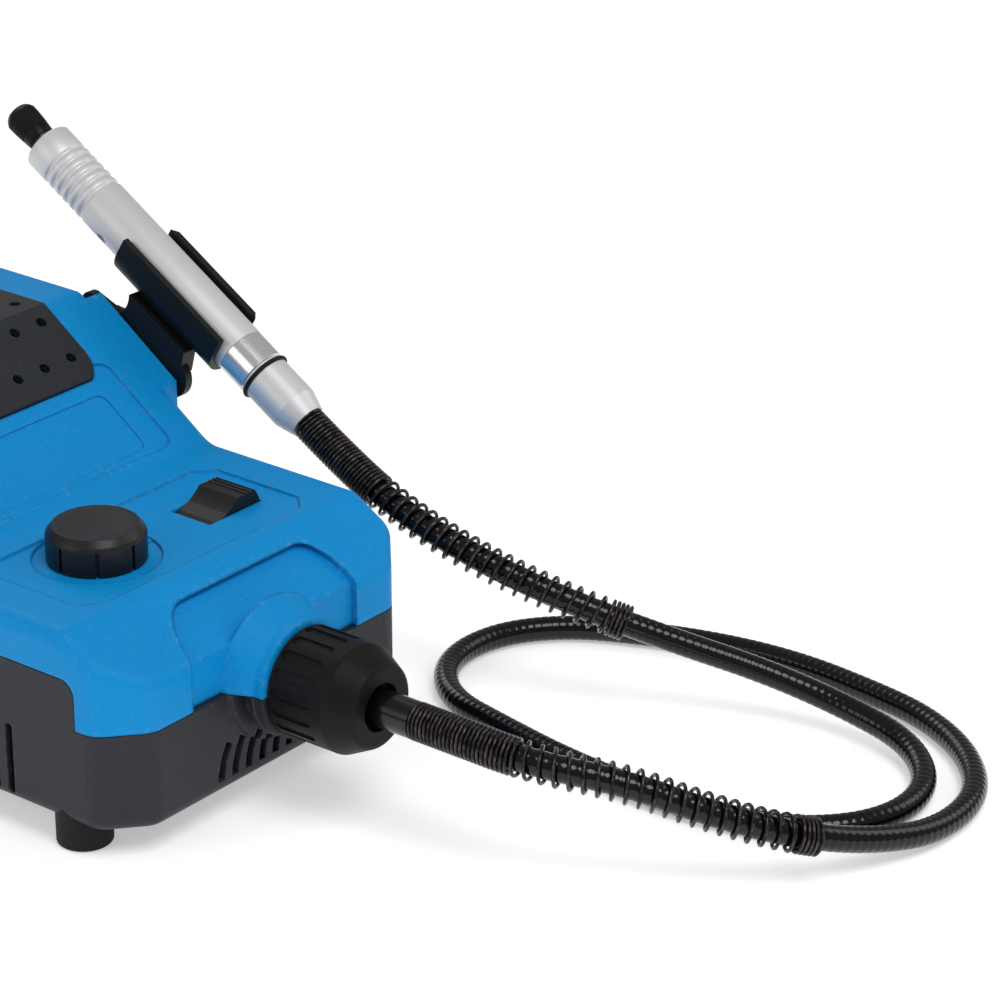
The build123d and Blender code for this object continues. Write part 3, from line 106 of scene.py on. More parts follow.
# --- shader sums
class Value:
    """A number in a shader: each operator used on it adds one Math node."""

    def __init__(self, graph: "Graph", socket: Socket) -> None:
        """Wrap one output socket of a graph."""
        self.graph = graph
        self.socket = socket

    def _math(self, operation: str, first: object, second: object) -> "Value":
        """Add a Math node.

        Args:
            operation: The Math node's operation.
            first: A Value or a number.
            second: A Value or a number.

        Returns:
            The node's result.
        """
        node = self.graph.node("ShaderNodeMath", {"operation": operation}, {0: first, 1: second})
        return Value(self.graph, node.outputs[0])

    def __add__(self, other: object) -> "Value":
        """Sum."""
        return self._math("ADD", self, other)

    __radd__ = __add__

    def __mul__(self, other: object) -> "Value":
        """Product."""
        return self._math("MULTIPLY", self, other)

    __rmul__ = __mul__

    def __sub__(self, other: object) -> "Value":
        """Difference."""
        return self._math("SUBTRACT", self, other)

    def __rsub__(self, other: object) -> "Value":
        """Difference the other way round."""
        return self._math("SUBTRACT", other, self)

    def between(self, low: float, high: float) -> "Value":
        """Rise smoothly from 0 at low to 1 at high.

        Args:
            low: Value that gives 0.
            high: Value that gives 1.

        Returns:
            The smoothed share between the two.
        """
        node = self.graph.node(
            "ShaderNodeMapRange", {"interpolation_type": "SMOOTHSTEP", "clamp": True},
            {"Value": self, "From Min": low, "From Max": high})
        return Value(self.graph, node.outputs[0])


class Graph:
    """The node tree of one material."""

    def __init__(self, name: str) -> None:
        """Start an empty material."""
        self.material = bpy.data.materials.new(name)
        self.material.use_nodes = True
        self.tree = self.material.node_tree
        self.tree.nodes.clear()

    def node(self, kind: str, settings: dict, links: dict) -> bpy.types.Node:
        """Add a node.

        Args:
            kind: The node's type.
            settings: Attributes to set first; "stops" is a list of (place, colour) for a ramp.
            links: Input name or index to a Value, a socket or a constant.

        Returns:
            The new node.
        """
        node = self.tree.nodes.new(kind)
        for key, value in settings.items():
            if key == "stops":
                ramp = node.color_ramp
                while len(ramp.elements) < len(value):
                    ramp.elements.new(0.5)
                for element, (place, colour) in zip(ramp.elements, value):
                    element.position = place
                    element.color = (*colour, 1.0)
            else:
                setattr(node, key, value)
        for key, value in links.items():
            self.feed(node.inputs[key], value)
        return node

    def feed(self, socket: Socket, value: object) -> None:
        """Link a Value or a socket into an input, or set a constant on it."""
        if isinstance(value, Value):
            value = value.socket
        if isinstance(value, Socket):
            self.tree.links.new(value, socket)
        elif isinstance(value, tuple) and len(value) == 3 and len(socket.default_value) == 4:
            socket.default_value = (*value, 1.0)
        else:
            socket.default_value = value

    def place(self) -> Socket:
        """Position on the object, in metres."""
        return self.node("ShaderNodeTexCoord", {}, {}).outputs["Object"]

    def along(self, direction: Vector, origin: Vector) -> Value:
        """Distance from a point along a direction.

        Args:
            direction: Unit vector.
            origin: Point where the distance is 0.

        Returns:
            The distance in metres.
        """
        node = self.node("ShaderNodeVectorMath", {"operation": "DOT_PRODUCT"},
                         {0: self.place(), 1: tuple(direction)})
        return Value(self, node.outputs["Value"]) - direction.dot(origin)

    def attribute(self, name: str) -> Value:
        """A number stored on the mesh's points."""
        node = self.node("ShaderNodeAttribute", {"attribute_name": name}, {})
        return Value(self, node.outputs["Fac"])

    def noise(self, size: float, detail: float = 2.0, rough: float = 0.5) -> Value:
        """Soft random values.

        Args:
            size: Size of a lump, in metres.
            detail: Octaves.
            rough: Strength of each finer octave.

        Returns:
            Values of about 0 to 1.
        """
        node = self.node("ShaderNodeTexNoise", {},
                         {"Vector": self.place(), "Scale": 1 / size, "Detail": detail, "Roughness": rough})
        return Value(self, node.outputs[0])

    def streaks(self, along: Value, size: float) -> Value:
        """Random bands across a distance, of a given width in metres."""
        node = self.node("ShaderNodeTexNoise", {"noise_dimensions": "1D"},
                         {"W": along, "Scale": 1 / size, "Detail": 3.0, "Roughness": 0.6})
        return Value(self, node.outputs[0])

    def blend(self, factor: object, first: object, second: object) -> Socket:
        """Mix two colours by a factor."""
        node = self.node("ShaderNodeMix", {"data_type": "RGBA", "clamp_factor": True},
                         {"Factor": factor, 6: first, 7: second})
        return node.outputs[2]

    def drifting(self, factor: Value, colour: Colour, share: float) -> Socket:
        """Let a colour drift from darker to lighter, by a share each way."""
        return self.blend(factor, shade(colour, 1 - share), shade(colour, 1 + share))

    def bump(self, height: Value, distance: float, rounding: float = 0.0) -> Socket:
        """Turn a height of 0 to 1 into a normal.

        Args:
            height: Height map.
            distance: Metres that a height of 1 stands for.
            rounding: Radius, in metres, that hard edges are softened by.

        Returns:
            The normal's socket.
        """
        inputs = {"Distance": distance, "Height": height}
        if rounding:
            inputs["Normal"] = self.soft_normal(rounding)
        return self.node("ShaderNodeBump", {}, inputs).outputs[0]

    def soft_normal(self, rounding: float) -> Socket:
        """Normal that turns smoothly over hard edges, within a radius in metres."""
        return self.node("ShaderNodeBevel", {"samples": 4}, {"Radius": rounding}).outputs[0]

    def edges(self, rounding: float) -> Value:
        """Value that is 0 on flats and rises along edges, within a radius in metres."""
        flat = self.node("ShaderNodeNewGeometry", {}, {}).outputs["Normal"]
        node = self.node("ShaderNodeVectorMath", {"operation": "DOT_PRODUCT"},
                         {0: self.soft_normal(rounding), 1: flat})
        return 1 - Value(self, node.outputs["Value"])

    def surface(self, sockets: dict) -> Material:
        """Close the tree with one Principled shader.

        Args:
            sockets: The shader's input names and what feeds them.

        Returns:
            The finished material.
        """
        shader = self.node("ShaderNodeBsdfPrincipled", {}, sockets)
        self.node("ShaderNodeOutputMaterial", {}, {"Surface": shader.outputs[0]})
        return self.material


# --- finishes
@dataclass(frozen=True)
class Finish:
    """A named finish of one colour.

    Attributes:
        name: Name of the material.
        colour: Linear colour.
    """

    name: str
    colour: Colour

    def sockets(self, graph: Graph) -> dict:
        """Work out what feeds the shader: input names and values."""
        raise NotImplementedError

    def material(self) -> Material:
        """Build the material."""
        graph = Graph(self.name)
        return graph.surface(self.sockets(graph))


@dataclass(frozen=True)
class Moulding(Finish):
    """Moulded plastic with a spark-eroded grain.

    Attributes:
        roughness: Middle roughness.
        grain: Size of the grain, in metres.
        depth: Depth of the grain, in metres.
        grain_glint: Strength of the painted glints, pale specks on top of the grain that stand in for light
            catching it.
        cloud: Share that the colour drifts over the surface.
        coat: Weight of the skin's gloss.
        shine: Strength of the plain reflection.
        rounding: Radius that hard edges are softened by, in metres.
        wear_and_sheen: Strength of the pale patches along the edges, partly scuffs and partly a painted
            highlight where the edges catch the light.
    """

    roughness: float = 0.5
    grain: float = 0.0007
    depth: float = 0.00003
    grain_glint: float = 0.0
    cloud: float = 0.06
    coat: float = 0.0
    shine: float = 0.4
    rounding: float = 0.0
    wear_and_sheen: float = 0.0

    def sockets(self, graph: Graph) -> dict:
        """Work out what feeds the shader."""
        drift = graph.noise(0.035, detail=3.0)
        grain = graph.noise(self.grain, rough=0.6)
        tone = graph.drifting(drift, self.colour, self.cloud)
        pale = tuple(part + (1 - part) * 0.55 for part in self.colour)
        # The pale specks on the grain are painted glints: light catching the grain, painted into the
        # colour.
        colour = graph.blend(grain.between(0.56, 0.72) * self.grain_glint, tone, pale)
        # Pale patches along the edges: partly scuffs, partly a painted highlight of the light that the
        # edges catch.
        if self.wear_and_sheen:
            edges = graph.edges(2.5 * self.rounding).between(0.01, 0.12)
            scuff_and_sheen_patches = graph.noise(0.004, detail=5.0, rough=0.7).between(0.5, 0.7)
            colour = graph.blend(edges * scuff_and_sheen_patches * self.wear_and_sheen, colour, pale)
        return {
            "Base Color": colour,
            "Roughness": grain * 0.16 + drift * 0.06 + (self.roughness - 0.11),
            "Normal": graph.bump(grain, self.depth, self.rounding),
            "Coat Weight": self.coat,
            "Coat Roughness": 0.25,
            "Specular IOR Level": self.shine,
        }


@dataclass(frozen=True)
class Rubber(Finish):
    """Moulded rubber, matt, with a dusty bloom."""

    def sockets(self, graph: Graph) -> dict:
        """Work out what feeds the shader."""
        bloom = graph.noise(0.006, detail=4.0, rough=0.6)
        skin = graph.noise(0.0005)
        return {
            "Base Color": graph.blend(bloom.between(0.4, 0.75) * 0.5, self.colour, shade(self.colour, 2.2)),
            "Roughness": bloom * 0.2 + 0.62,
            "Normal": graph.bump(skin, 0.00003),
            "Specular IOR Level": 0.35,
        }


@dataclass(frozen=True)
class TurnedMetal(Finish):
    """Metal turned on a lathe: fine rings across its axis.

    Attributes:
        roughness: Middle roughness.
        ring: Width of the tool marks, in metres.
        depth: Depth of the tool marks, in metres.
        cloud: Share that the colour drifts.
        metallic: Share of bare metal in the surface.
        axis: Unit vector of the axis.
        origin: A point on the axis.
    """

    roughness: float
    ring: float
    depth: float
    cloud: float
    metallic: float
    axis: Point = HAND_AXIS
    origin: Point = tuple(at(*HAND_TAIL))

    def sockets(self, graph: Graph) -> dict:
        """Work out what feeds the shader."""
        marks = graph.streaks(graph.along(Vector(self.axis), Vector(self.origin)), self.ring)
        blast = graph.noise(0.0004)
        drift = graph.noise(0.02)
        return {
            "Base Color": graph.drifting(drift, self.colour, self.cloud),
            "Metallic": self.metallic,
            "Roughness": marks * 0.10 + blast * 0.08 + (self.roughness - 0.09),
            "Normal": graph.bump(marks * 0.6 + blast * 0.4, self.depth),
        }


@dataclass(frozen=True)
class BareMetal(Finish):
    """Plated or bare metal without a direction, with light staining.

    Attributes:
        roughness: Middle roughness.
        stain: Share that the stains darken the colour.
    """

    roughness: float = 0.3
    stain: float = 0.12

    def sockets(self, graph: Graph) -> dict:
        """Work out what feeds the shader."""
        stain = graph.noise(0.004, detail=5.0, rough=0.65)
        fine = graph.noise(0.0006)
        return {
            "Base Color": graph.blend(stain, shade(self.colour, 1 - self.stain), self.colour),
            "Metallic": 1.0,
            "Roughness": stain * 0.2 + fine * 0.05 + (self.roughness - 0.12),
            "Normal": graph.bump(fine, 0.000008),
        }


@dataclass(frozen=True)
class Jacket(Finish):
    """Glossy black jacket drawn over a wound hose, shinier along the ridges of its ribs, with a painted
    highlight on the ridges and painted shade in the grooves.

    Attributes:
        roughness: Middle roughness.
    """

    roughness: float = 0.2

    def sockets(self, graph: Graph) -> dict:
        """Work out what feeds the shader."""
        rib = graph.attribute("rib")
        smear = graph.noise(0.012, detail=4.0, rough=0.6)
        fine = graph.noise(0.0012)
        return {
            # Lighter ridges and darker grooves: a painted highlight on the ribs and painted shade between
            # them.
            "Base Color": graph.blend(rib, shade(self.colour, 0.5), shade(self.colour, 1.2)),
            "Roughness": smear * 0.12 + fine * 0.04 + (1 - rib) * 0.08 + (self.roughness - 0.08),
            "Normal": graph.bump(fine, 0.000008),
            "Coat Weight": 0.3,
            "Coat Roughness": 0.05,
            "Specular IOR Level": 0.2,
        }


@dataclass(frozen=True)
class SpringWire(Finish):
    """Blackened spring wire, paler on its outside in patches: partly wear, partly a painted highlight.

    Attributes:
        bright: Colour of the pale patches on the outside, partly worn metal and partly painted highlight.
    """

    bright: Colour

    def sockets(self, graph: Graph) -> dict:
        """Work out what feeds the shader."""
        outside = graph.attribute("outside")
        patch = graph.noise(0.003, detail=4.0, rough=0.6)
        # Pale patches on the outside of the turns: partly wear, partly a painted highlight where the coils
        # catch the light.
        wear_and_sheen = outside.between(0.72, 1.0) * patch.between(0.35, 0.7)
        return {
            "Base Color": graph.blend(wear_and_sheen * 0.35, self.colour, self.bright),
            "Metallic": 0.6,
            "Roughness": patch * 0.14 + 0.14,
            "Specular IOR Level": 0.3,
            "Normal": graph.bump(patch, 0.00001),
        }


@dataclass(frozen=True)
class CircuitBoard(Finish):
    """Lacquered board with a pattern of tracks."""

    def sockets(self, graph: Graph) -> dict:
        """Work out what feeds the shader."""
        tracks = graph.node("ShaderNodeTexVoronoi", {"distance": "MANHATTAN", "feature": "F1"},
                            {"Vector": graph.place(), "Scale": 260.0})
        line = Value(graph, tracks.outputs[0]).between(0.42, 0.5)
        return {
            "Base Color": graph.blend(line, self.colour, shade(self.colour, 2.4)),
            "Roughness": line * 0.15 + 0.2,
            "Normal": graph.bump(line, 0.00003),
            "Coat Weight": 0.5,
        }


class Paint(Enum):
    """The station's finishes, one for each kind of surface."""

    BLUE = Moulding("blue_shell", linear(0, 142, 212), grain=0.0009, depth=0.000045, grain_glint=0.05,
                    cloud=0.04, shine=0.16, rounding=0.0016, wear_and_sheen=0.16)
    CHARCOAL = Moulding("charcoal_shell", linear(38, 40, 47), 0.52, grain=0.0008, depth=0.00005,
                        grain_glint=0.03, cloud=0.10, shine=0.3, rounding=0.0010, wear_and_sheen=0.08)
    RACK = Moulding("rack_panel", linear(36, 37, 42), 0.55, grain=0.0009, depth=0.00008,
                    grain_glint=0.04, cloud=0.10, shine=0.3)
    NUT = Moulding("nut_plastic", linear(14, 13, 14), 0.52, cloud=0.10, shine=0.18, rounding=0.0005)
    CONTROL = Moulding("control_plastic", linear(17, 15, 16), 0.42, grain=0.0006, depth=0.00002,
                       cloud=0.10, coat=0.05, shine=0.35, rounding=0.0003)
    HOLDER = Moulding("holder_plastic", linear(17, 15, 16), 0.48, depth=0.00004, cloud=0.12,
                      shine=0.3, rounding=0.0005)
    FERRULE = Moulding("ferrule_gloss", linear(5, 5, 6), 0.16, grain=0.0010, depth=0.000004,
                       cloud=0.10, coat=0.35, shine=0.25)
    BELL = Moulding("bell_plastic", linear(205, 200, 186), 0.45, grain=0.0008, depth=0.00002, cloud=0.05)
    WRAP = Moulding("cell_wrap", linear(30, 120, 150), 0.3, grain=0.0012, depth=0.00001, coat=0.4)
    FOOT = Rubber("foot_rubber", linear(9, 9, 11))
    STEEL = BareMetal("steel", (0.55, 0.55, 0.57), 0.32)
    BLACKENED = BareMetal("blackened_steel", (0.022, 0.021, 0.022), 0.40, stain=0.3)
    COPPER = BareMetal("copper", (0.80, 0.42, 0.25), 0.3, stain=0.25)
    IRON = BareMetal("ferrite", (0.09, 0.09, 0.10), 0.6, stain=0.3)
    BOARD = CircuitBoard("circuit_board", linear(14, 82, 50))
    JACKET = Jacket("shaft_jacket", linear(7, 7, 8), 0.16)
    WIRE = SpringWire("spring_wire", (0.012, 0.011, 0.011), bright=(0.24, 0.19, 0.17))
    ALUMINIUM = TurnedMetal("satin_aluminium", (0.72, 0.705, 0.70), 0.47, ring=0.0004, depth=0.000008,
                            cloud=0.03, metallic=0.4)
    POLISHED = TurnedMetal("polished_ring", (0.78, 0.77, 0.77), 0.2, ring=0.0006, depth=0.000003,
                           cloud=0.04, metallic=0.8)


class Finishes:
    """Makes each finish once and puts it on pieces."""

    def __init__(self) -> None:
        """Start with no finish made."""
        self.made: dict[Paint, Material] = {}

    def put(self, paint: Paint, *pieces: Piece) -> None:
        """Give pieces one finish all over.

        Args:
            paint: The finish.
            pieces: What to cover.
        """
        if paint not in self.made:
            self.made[paint] = paint.value.material()
        for piece in pieces:
            piece.data.materials.clear()
            piece.data.materials.append(self.made[paint])

    def put_nodes(self, table: dict[Paint, str]) -> None:
        """Give CAD nodes a finish all over.

        Args:
            table: The names of the nodes for each finish, with spaces between them.
        """
        for paint, nodes in table.items():
            self.put(paint, *(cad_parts[node] for node in nodes.split()))


# --- studio
@dataclass
class Studio:
    """Camera, pale floor and soft lights.

    Attributes:
        camera_place: Where the camera stands, in metres.
        elevation: Degrees that it looks down.
        azimuth: Degrees that it is turned about the vertical.
        lens: Focal length, in millimetres.
        floor_size: Side of the floor, in metres.
        floor_glow: Light that the floor gives by itself.
        world_glow: Light from all round.
    """

    camera_place: Point = (-0.89645, -0.88475, 0.63919)
    elevation: float = 23.98
    azimuth: float = -51.6
    lens: float = 136.8
    floor_size: float = 12.0
    floor_glow: float = 0.42
    world_glow: float = 0.32

    def set_camera(self) -> None:
        """Stand the camera."""
        data = bpy.data.cameras.new("camera")
        data.lens = self.lens
        data.sensor_width = 36.0
        data.clip_end = 50.0
        camera = bpy.data.objects.new("camera", data)
        camera.location = self.camera_place
        camera.rotation_euler = (math.radians(90 - self.elevation), 0.0, math.radians(self.azimuth))
        bpy.context.scene.collection.objects.link(camera)
        bpy.context.scene.camera = camera

    def lay_floor(self) -> None:
        """Lay the pale floor."""
        clear_selection()
        bpy.ops.mesh.primitive_plane_add(size=self.floor_size, location=(0, 0, -0.0002))
        floor = bpy.context.object
        floor.name = "floor"
        graph = Graph("pale_floor")
        drift = graph.noise(0.8)
        floor.data.materials.append(graph.surface({
            "Base Color": graph.blend(drift, (0.93, 0.93, 0.935), (0.95, 0.95, 0.95)),
            "Roughness": 0.85,
            "Specular IOR Level": 0.1,
            "Emission Color": (1.0, 1.0, 1.0),
            "Emission Strength": self.floor_glow,
        }))

    def light(self, name: str, place: Point, aim: Point, size: float, power: float) -> None:
        """Hang one soft light.

        Args:
            name: Name of the light.
            place: Where it hangs, in metres.
            aim: The point that it faces.
            size: Side of its square, in metres.
            power: Watts.
        """
        data = bpy.data.lights.new(name, "AREA")
        data.size = size
        data.energy = power
        lamp = bpy.data.objects.new(name, data)
        lamp.location = place
        lamp.rotation_euler = (Vector(aim) - Vector(place)).to_track_quat("-Z", "Y").to_euler()
        bpy.context.scene.collection.objects.link(lamp)

    def set_lights(self) -> None:
        """Hang the lights and set the world's glow."""
        middle = (0.02, -0.02, 0.05)
        self.light("key", (-0.3, -0.9, 1.5), middle, 0.8, 12.0)
        self.light("left", (-1.5, 0.5, 0.9), middle, 0.9, 4.5)
        self.light("right", (1.3, -0.9, 1.1), middle, 0.9, 4.5)
        self.light("back", (0.6, 1.5, 1.2), middle, 0.9, 5.0)
        world = bpy.data.worlds.new("studio")
        bpy.context.scene.world = world
        world.use_nodes = True
        glow = world.node_tree.nodes["Background"]
        glow.inputs[0].default_value = (1.0, 1.0, 1.0, 1.0)
        glow.inputs[1].default_value = self.world_glow
        bpy.context.scene.view_settings.view_transform = "Standard"


# --- mesh helpers
def clear_selection() -> None:
    """Leave edit mode and deselect everything."""
    if bpy.context.object is not None and bpy.context.object.mode != "OBJECT":
        bpy.ops.object.mode_set(mode="OBJECT")
    bpy.ops.object.select_all(action="DESELECT")


class Skin(Enum):
    """How a skin over rows of points ends."""

    CAPPED = "the first and last row are filled"
    LOOPED = "the last row joins the first"


def grid_piece(name: str, rings: Sequence[Sequence[Vector]], skin: Skin,
               marks: Optional[dict[str, Sequence[float]]] = None) -> Piece:
    """Skin rows of points that each close on themselves.

    Args:
        name: Name of the piece.
        rings: Rows of points, all of one length, in order.
        skin: How the skin ends.
        marks: Names of point attributes and their values.

    Returns:
        The smooth-shaded piece.
    """
    sides = len(rings[0])
    points = [point for ring in rings for point in ring]
    faces = []
    for row in range(len(rings) - (skin is Skin.CAPPED)):
        for side in range(sides):
            after = (side + 1) % sides
            start, end = row * sides, (row + 1) % len(rings) * sides
            faces.append((start + side, start + after, end + after, end + side))
    if skin is Skin.CAPPED:
        faces.append(tuple(reversed(range(sides))))
        faces.append(tuple(range((len(rings) - 1) * sides, len(rings) * sides)))
    mesh = bpy.data.meshes.new(name)
    mesh.from_pydata(points, [], faces)
    mesh.validate()
    for key, values in (marks or {}).items():
        layer = mesh.attributes.new(key, "FLOAT", "POINT")
        layer.data.foreach_set("value", values)
    mesh.polygons.foreach_set("use_smooth", [True] * len(mesh.polygons))
    piece = bpy.data.objects.new(name, mesh)
    bpy.context.scene.collection.objects.link(piece)
    return piece


def ring_round(centre: Vector, first: Vector, second: Vector, radius: float, sides: int) -> list[Vector]:
    """Points of a circle.

    Args:
        centre: Its middle.
        first: Unit vector to the first point.
        second: Unit vector to the point a quarter turn on.
        radius: Its radius, in metres.
        sides: float of points.

    Returns:
        The points, in order.
    """
    turns = [2 * math.pi * side / sides for side in range(sides)]
    return [centre + (first * math.cos(turn) + second * math.sin(turn)) * radius for turn in turns]


def select_only(piece: Piece) -> None:
    """Make one piece the selected and active one."""
    clear_selection()
    bpy.context.view_layer.objects.active = piece
    piece.select_set(True)


def pick(kind: str, wanted: Callable[[object], bool]) -> None:
    """In edit mode, select what passes a test.

    Args:
        kind: FACE or EDGE.
        wanted: Says whether a face or an edge is wanted.
    """
    bpy.ops.mesh.select_mode(type=kind)
    bpy.ops.mesh.select_all(action="DESELECT")
    mesh = bmesh.from_edit_mesh(bpy.context.object.data)
    for part in mesh.faces if kind == "FACE" else mesh.edges:
        if wanted(part):
            part.select_set(True)
    bmesh.update_edit_mesh(bpy.context.object.data)


def cut(piece: Piece, cutter: Piece) -> None:
    """Cut one piece with another, which is used up.

    Args:
        piece: What is cut.
        cutter: The shape that is taken away.
    """
    change = piece.modifiers.new("cut", "BOOLEAN")
    change.operation = "DIFFERENCE"
    change.solver = "EXACT"
    change.object = cutter
    select_only(piece)
    bpy.ops.object.modifier_apply(modifier=change.name)
    bpy.data.objects.remove(cutter)


def on_hand_axis(distance: float, radius: float, turn: float) -> Vector:
    """Place a point by its distance along the handpiece.

    Args:
        distance: Millimetres from the tail.
        radius: Millimetres off the axis.
        turn: Radians round the axis, from the right over the top.

    Returns:
        The point in the frame, in metres.
    """
    right, over = Vector((1, 0, 0)), Vector((0, -HAND_AXIS[2], HAND_AXIS[1]))
    out = right * math.cos(turn) + over * math.sin(turn)
    return at(*HAND_TAIL) + (Vector(HAND_AXIS) * distance + out * radius) * MM


def turned_piece(name: str, profile: Sequence[tuple[float, float]], sides: int,
                 relief: Callable[[float, float], float] = lambda distance, turn: 0.0) -> Piece:
    """Turn a closed profile round the handpiece's axis.

    Args:
        name: Name of the piece.
        profile: (distance, radius) corners in millimetres, in order round the section.
        sides: Points round the axis.
        relief: Depth cut below the profile at a distance and a turn, in millimetres.

    Returns:
        The piece.
    """
    turns = [2 * math.pi * side / sides for side in range(sides)]
    rings = [[on_hand_axis(distance, radius - relief(distance, turn), turn) for turn in turns]
             for distance, radius in profile]
    return grid_piece(name, rings, Skin.LOOPED)


class Line:
    """A smooth line through space, walked by its length, with a frame that doesn't twist."""

    def __init__(self, points: Sequence[Vector]) -> None:
        """Measure the line and carry a side direction along it."""
        self.points = list(points)
        self.lengths = [0.0]
        for before, after in zip(self.points, self.points[1:]):
            self.lengths.append(self.lengths[-1] + (after - before).length)
        self.sides: list[Vector] = []
        side = Vector((0, 0, 1)).cross(self._heading(0)).normalized()
        for index in range(len(self.points)):
            heading = self._heading(index)
            side = (side - heading * side.dot(heading)).normalized()
            self.sides.append(side)

    @property
    def total(self) -> float:
        """The line's length, in metres."""
        return self.lengths[-1]

    def _heading(self, index: int) -> Vector:
        """Direction of travel at one of the points."""
        before = self.points[max(0, index - 1)]
        after = self.points[min(len(self.points) - 1, index + 1)]
        return (after - before).normalized()

    def walk(self, distances: Iterable[float]) -> list[tuple[Vector, Vector, Vector]]:
        """Frames at rising distances from the start.

        Args:
            distances: Distances in metres, in rising order.

        Returns:
            A (point, side, up) for each distance, where side and up are square to the line.
        """
        frames = []
        index = 0
        last = len(self.points) - 2
        for distance in distances:
            while index < last and self.lengths[index + 1] < distance:
                index += 1
            span = self.lengths[index + 1] - self.lengths[index]
            share = min(1.0, max(0.0, (distance - self.lengths[index]) / span))
            point = self.points[index].lerp(self.points[index + 1], share)
            heading = self._heading(index).lerp(self._heading(index + 1), share).normalized()
            side = self.sides[index].lerp(self.sides[index + 1], share)
            side = (side - heading * side.dot(heading)).normalized()
            frames.append((point, side, heading.cross(side)))
        return frames


# --- flexible shaft
TAIL_RUN = 16.0
SHAFT_ROUTE: list[Point] = [
    (0, -63.5, 48), (0, -80, 48), (4, -108, 45), (21, -136.5, 39.5),
    (37, -158, 29), (57, -179, 19), (82.5, -193.5, 10.5), (111.5, -202.5, 4.8), (142, -200, 4.8),
    (166.5, -180.5, 4.8), (181.5, -153.5, 4.8), (186.5, -124, 4.8), (189, -93, 4.8),
    (185, -63, 4.8), (175, -33, 4.8), (161, -4, 4.8), (137, 13.5, 4.8), (107.5, 13, 4.8),
    (85.5, -7, 4.8), (79, -40, 4.8), (74, -68.5, 4.8), (72, -100.5, 4.8), (72.5, -127.5, 4.8),
    (80, -162, 4.8), (104.5, -184, 4.8), (135.5, -184, 4.8), (157.5, -162.5, 7), (160, -130, 11.5),
    (150, -102, 20.5), (135.5, -76, 29), (118.5, -51, 40), (107, -24, 49.5), (99.5, 3, 59.5),
    (96.5, 30, 70),
    (HAND_TAIL[0], HAND_TAIL[1] - TAIL_RUN * HAND_AXIS[1], HAND_TAIL[2] - TAIL_RUN * HAND_AXIS[2]),
    HAND_TAIL,
]


class End(Enum):
    """The two ends of the flexible shaft."""

    STATION = "base"
    HANDPIECE = "handpiece"


@dataclass
class SpringGuard:
    """Wound wire guard: close turns by the fitting, then open turns, then a close end.

    Attributes:
        end: The end of the shaft that it guards.
        outer: Outside radius of the turns, in metres.
        wire: Radius of the wire, in metres.
        close_pitch: Step of a close turn.
        open_pitch: Step of an open turn.
        close_turns: Close turns by the fitting.
        end_turns: Close turns at the free end.
        length: Length of the whole guard.
        ease: Turns in which the pitch changes over.
        steps: Points along one turn of the wire.
        sides: Points round the wire.
    """

    end: End
    outer: float = 0.0069
    wire: float = 0.0007
    close_pitch: float = 0.00158
    open_pitch: float = 0.00470
    close_turns: float = 24.0
    end_turns: float = 4.0
    length: float = 0.146
    ease: float = 1.2
    steps: int = 26
    sides: int = 8

    def _turn_at(self) -> list[tuple[float, float]]:
        """Turns made and distance covered, at fine steps along the guard."""
        rows = [(0.0, 0.0)]
        open_length = self.length - (self.close_turns + self.end_turns) * self.close_pitch
        open_turns = open_length / self.open_pitch
        total = self.close_turns + open_turns + self.end_turns
        count = int(total * self.steps)
        for step in range(1, count + 1):
            turn = total * step / count
            into = min(1.0, max(0.0, (turn - self.close_turns) / self.ease))
            out = min(1.0, max(0.0, (total - self.end_turns - turn) / self.ease))
            share = min(into, out)
            pitch = self.close_pitch + (self.open_pitch - self.close_pitch) * share
            rows.append((turn, rows[-1][1] + pitch * total / count))
        stretch = self.length / rows[-1][1]
        return [(turn, distance * stretch) for turn, distance in rows]

    def build(self, line: Line) -> Piece:
        """Wind the wire round the shaft.

        Args:
            line: The shaft's line, from the station to the handpiece.

        Returns:
            The guard.
        """
        rows = self._turn_at()
        if self.end is End.HANDPIECE:
            rows = [(turn, line.total - distance) for turn, distance in reversed(rows)]
        frames = line.walk(distance for _, distance in rows)
        radius = self.outer - self.wire
        wire_line = []
        for (turn, _), (point, side, up) in zip(rows, frames):
            angle = 2 * math.pi * turn
            wire_line.append(point + side * math.cos(angle) * radius + up * math.sin(angle) * radius)
        rings, outside = [], []
        for index, (centre, (point, _, _)) in enumerate(zip(wire_line, frames)):
            ahead = wire_line[min(index + 1, len(wire_line) - 1)] - wire_line[max(index - 1, 0)]
            ahead.normalize()
            away = (centre - point).normalized()
            away = (away - ahead * away.dot(ahead)).normalized()
            rings.append(ring_round(centre, away, ahead.cross(away), self.wire, self.sides))
            # These outside values also place the wire's pale patches, which are partly painted highlight.
            outside.extend(0.5 + 0.5 * math.cos(2 * math.pi * corner / self.sides)
                           for corner in range(self.sides))
        return grid_piece(self.end.value + "_guard_wire", rings, Skin.CAPPED, {"outside": outside})


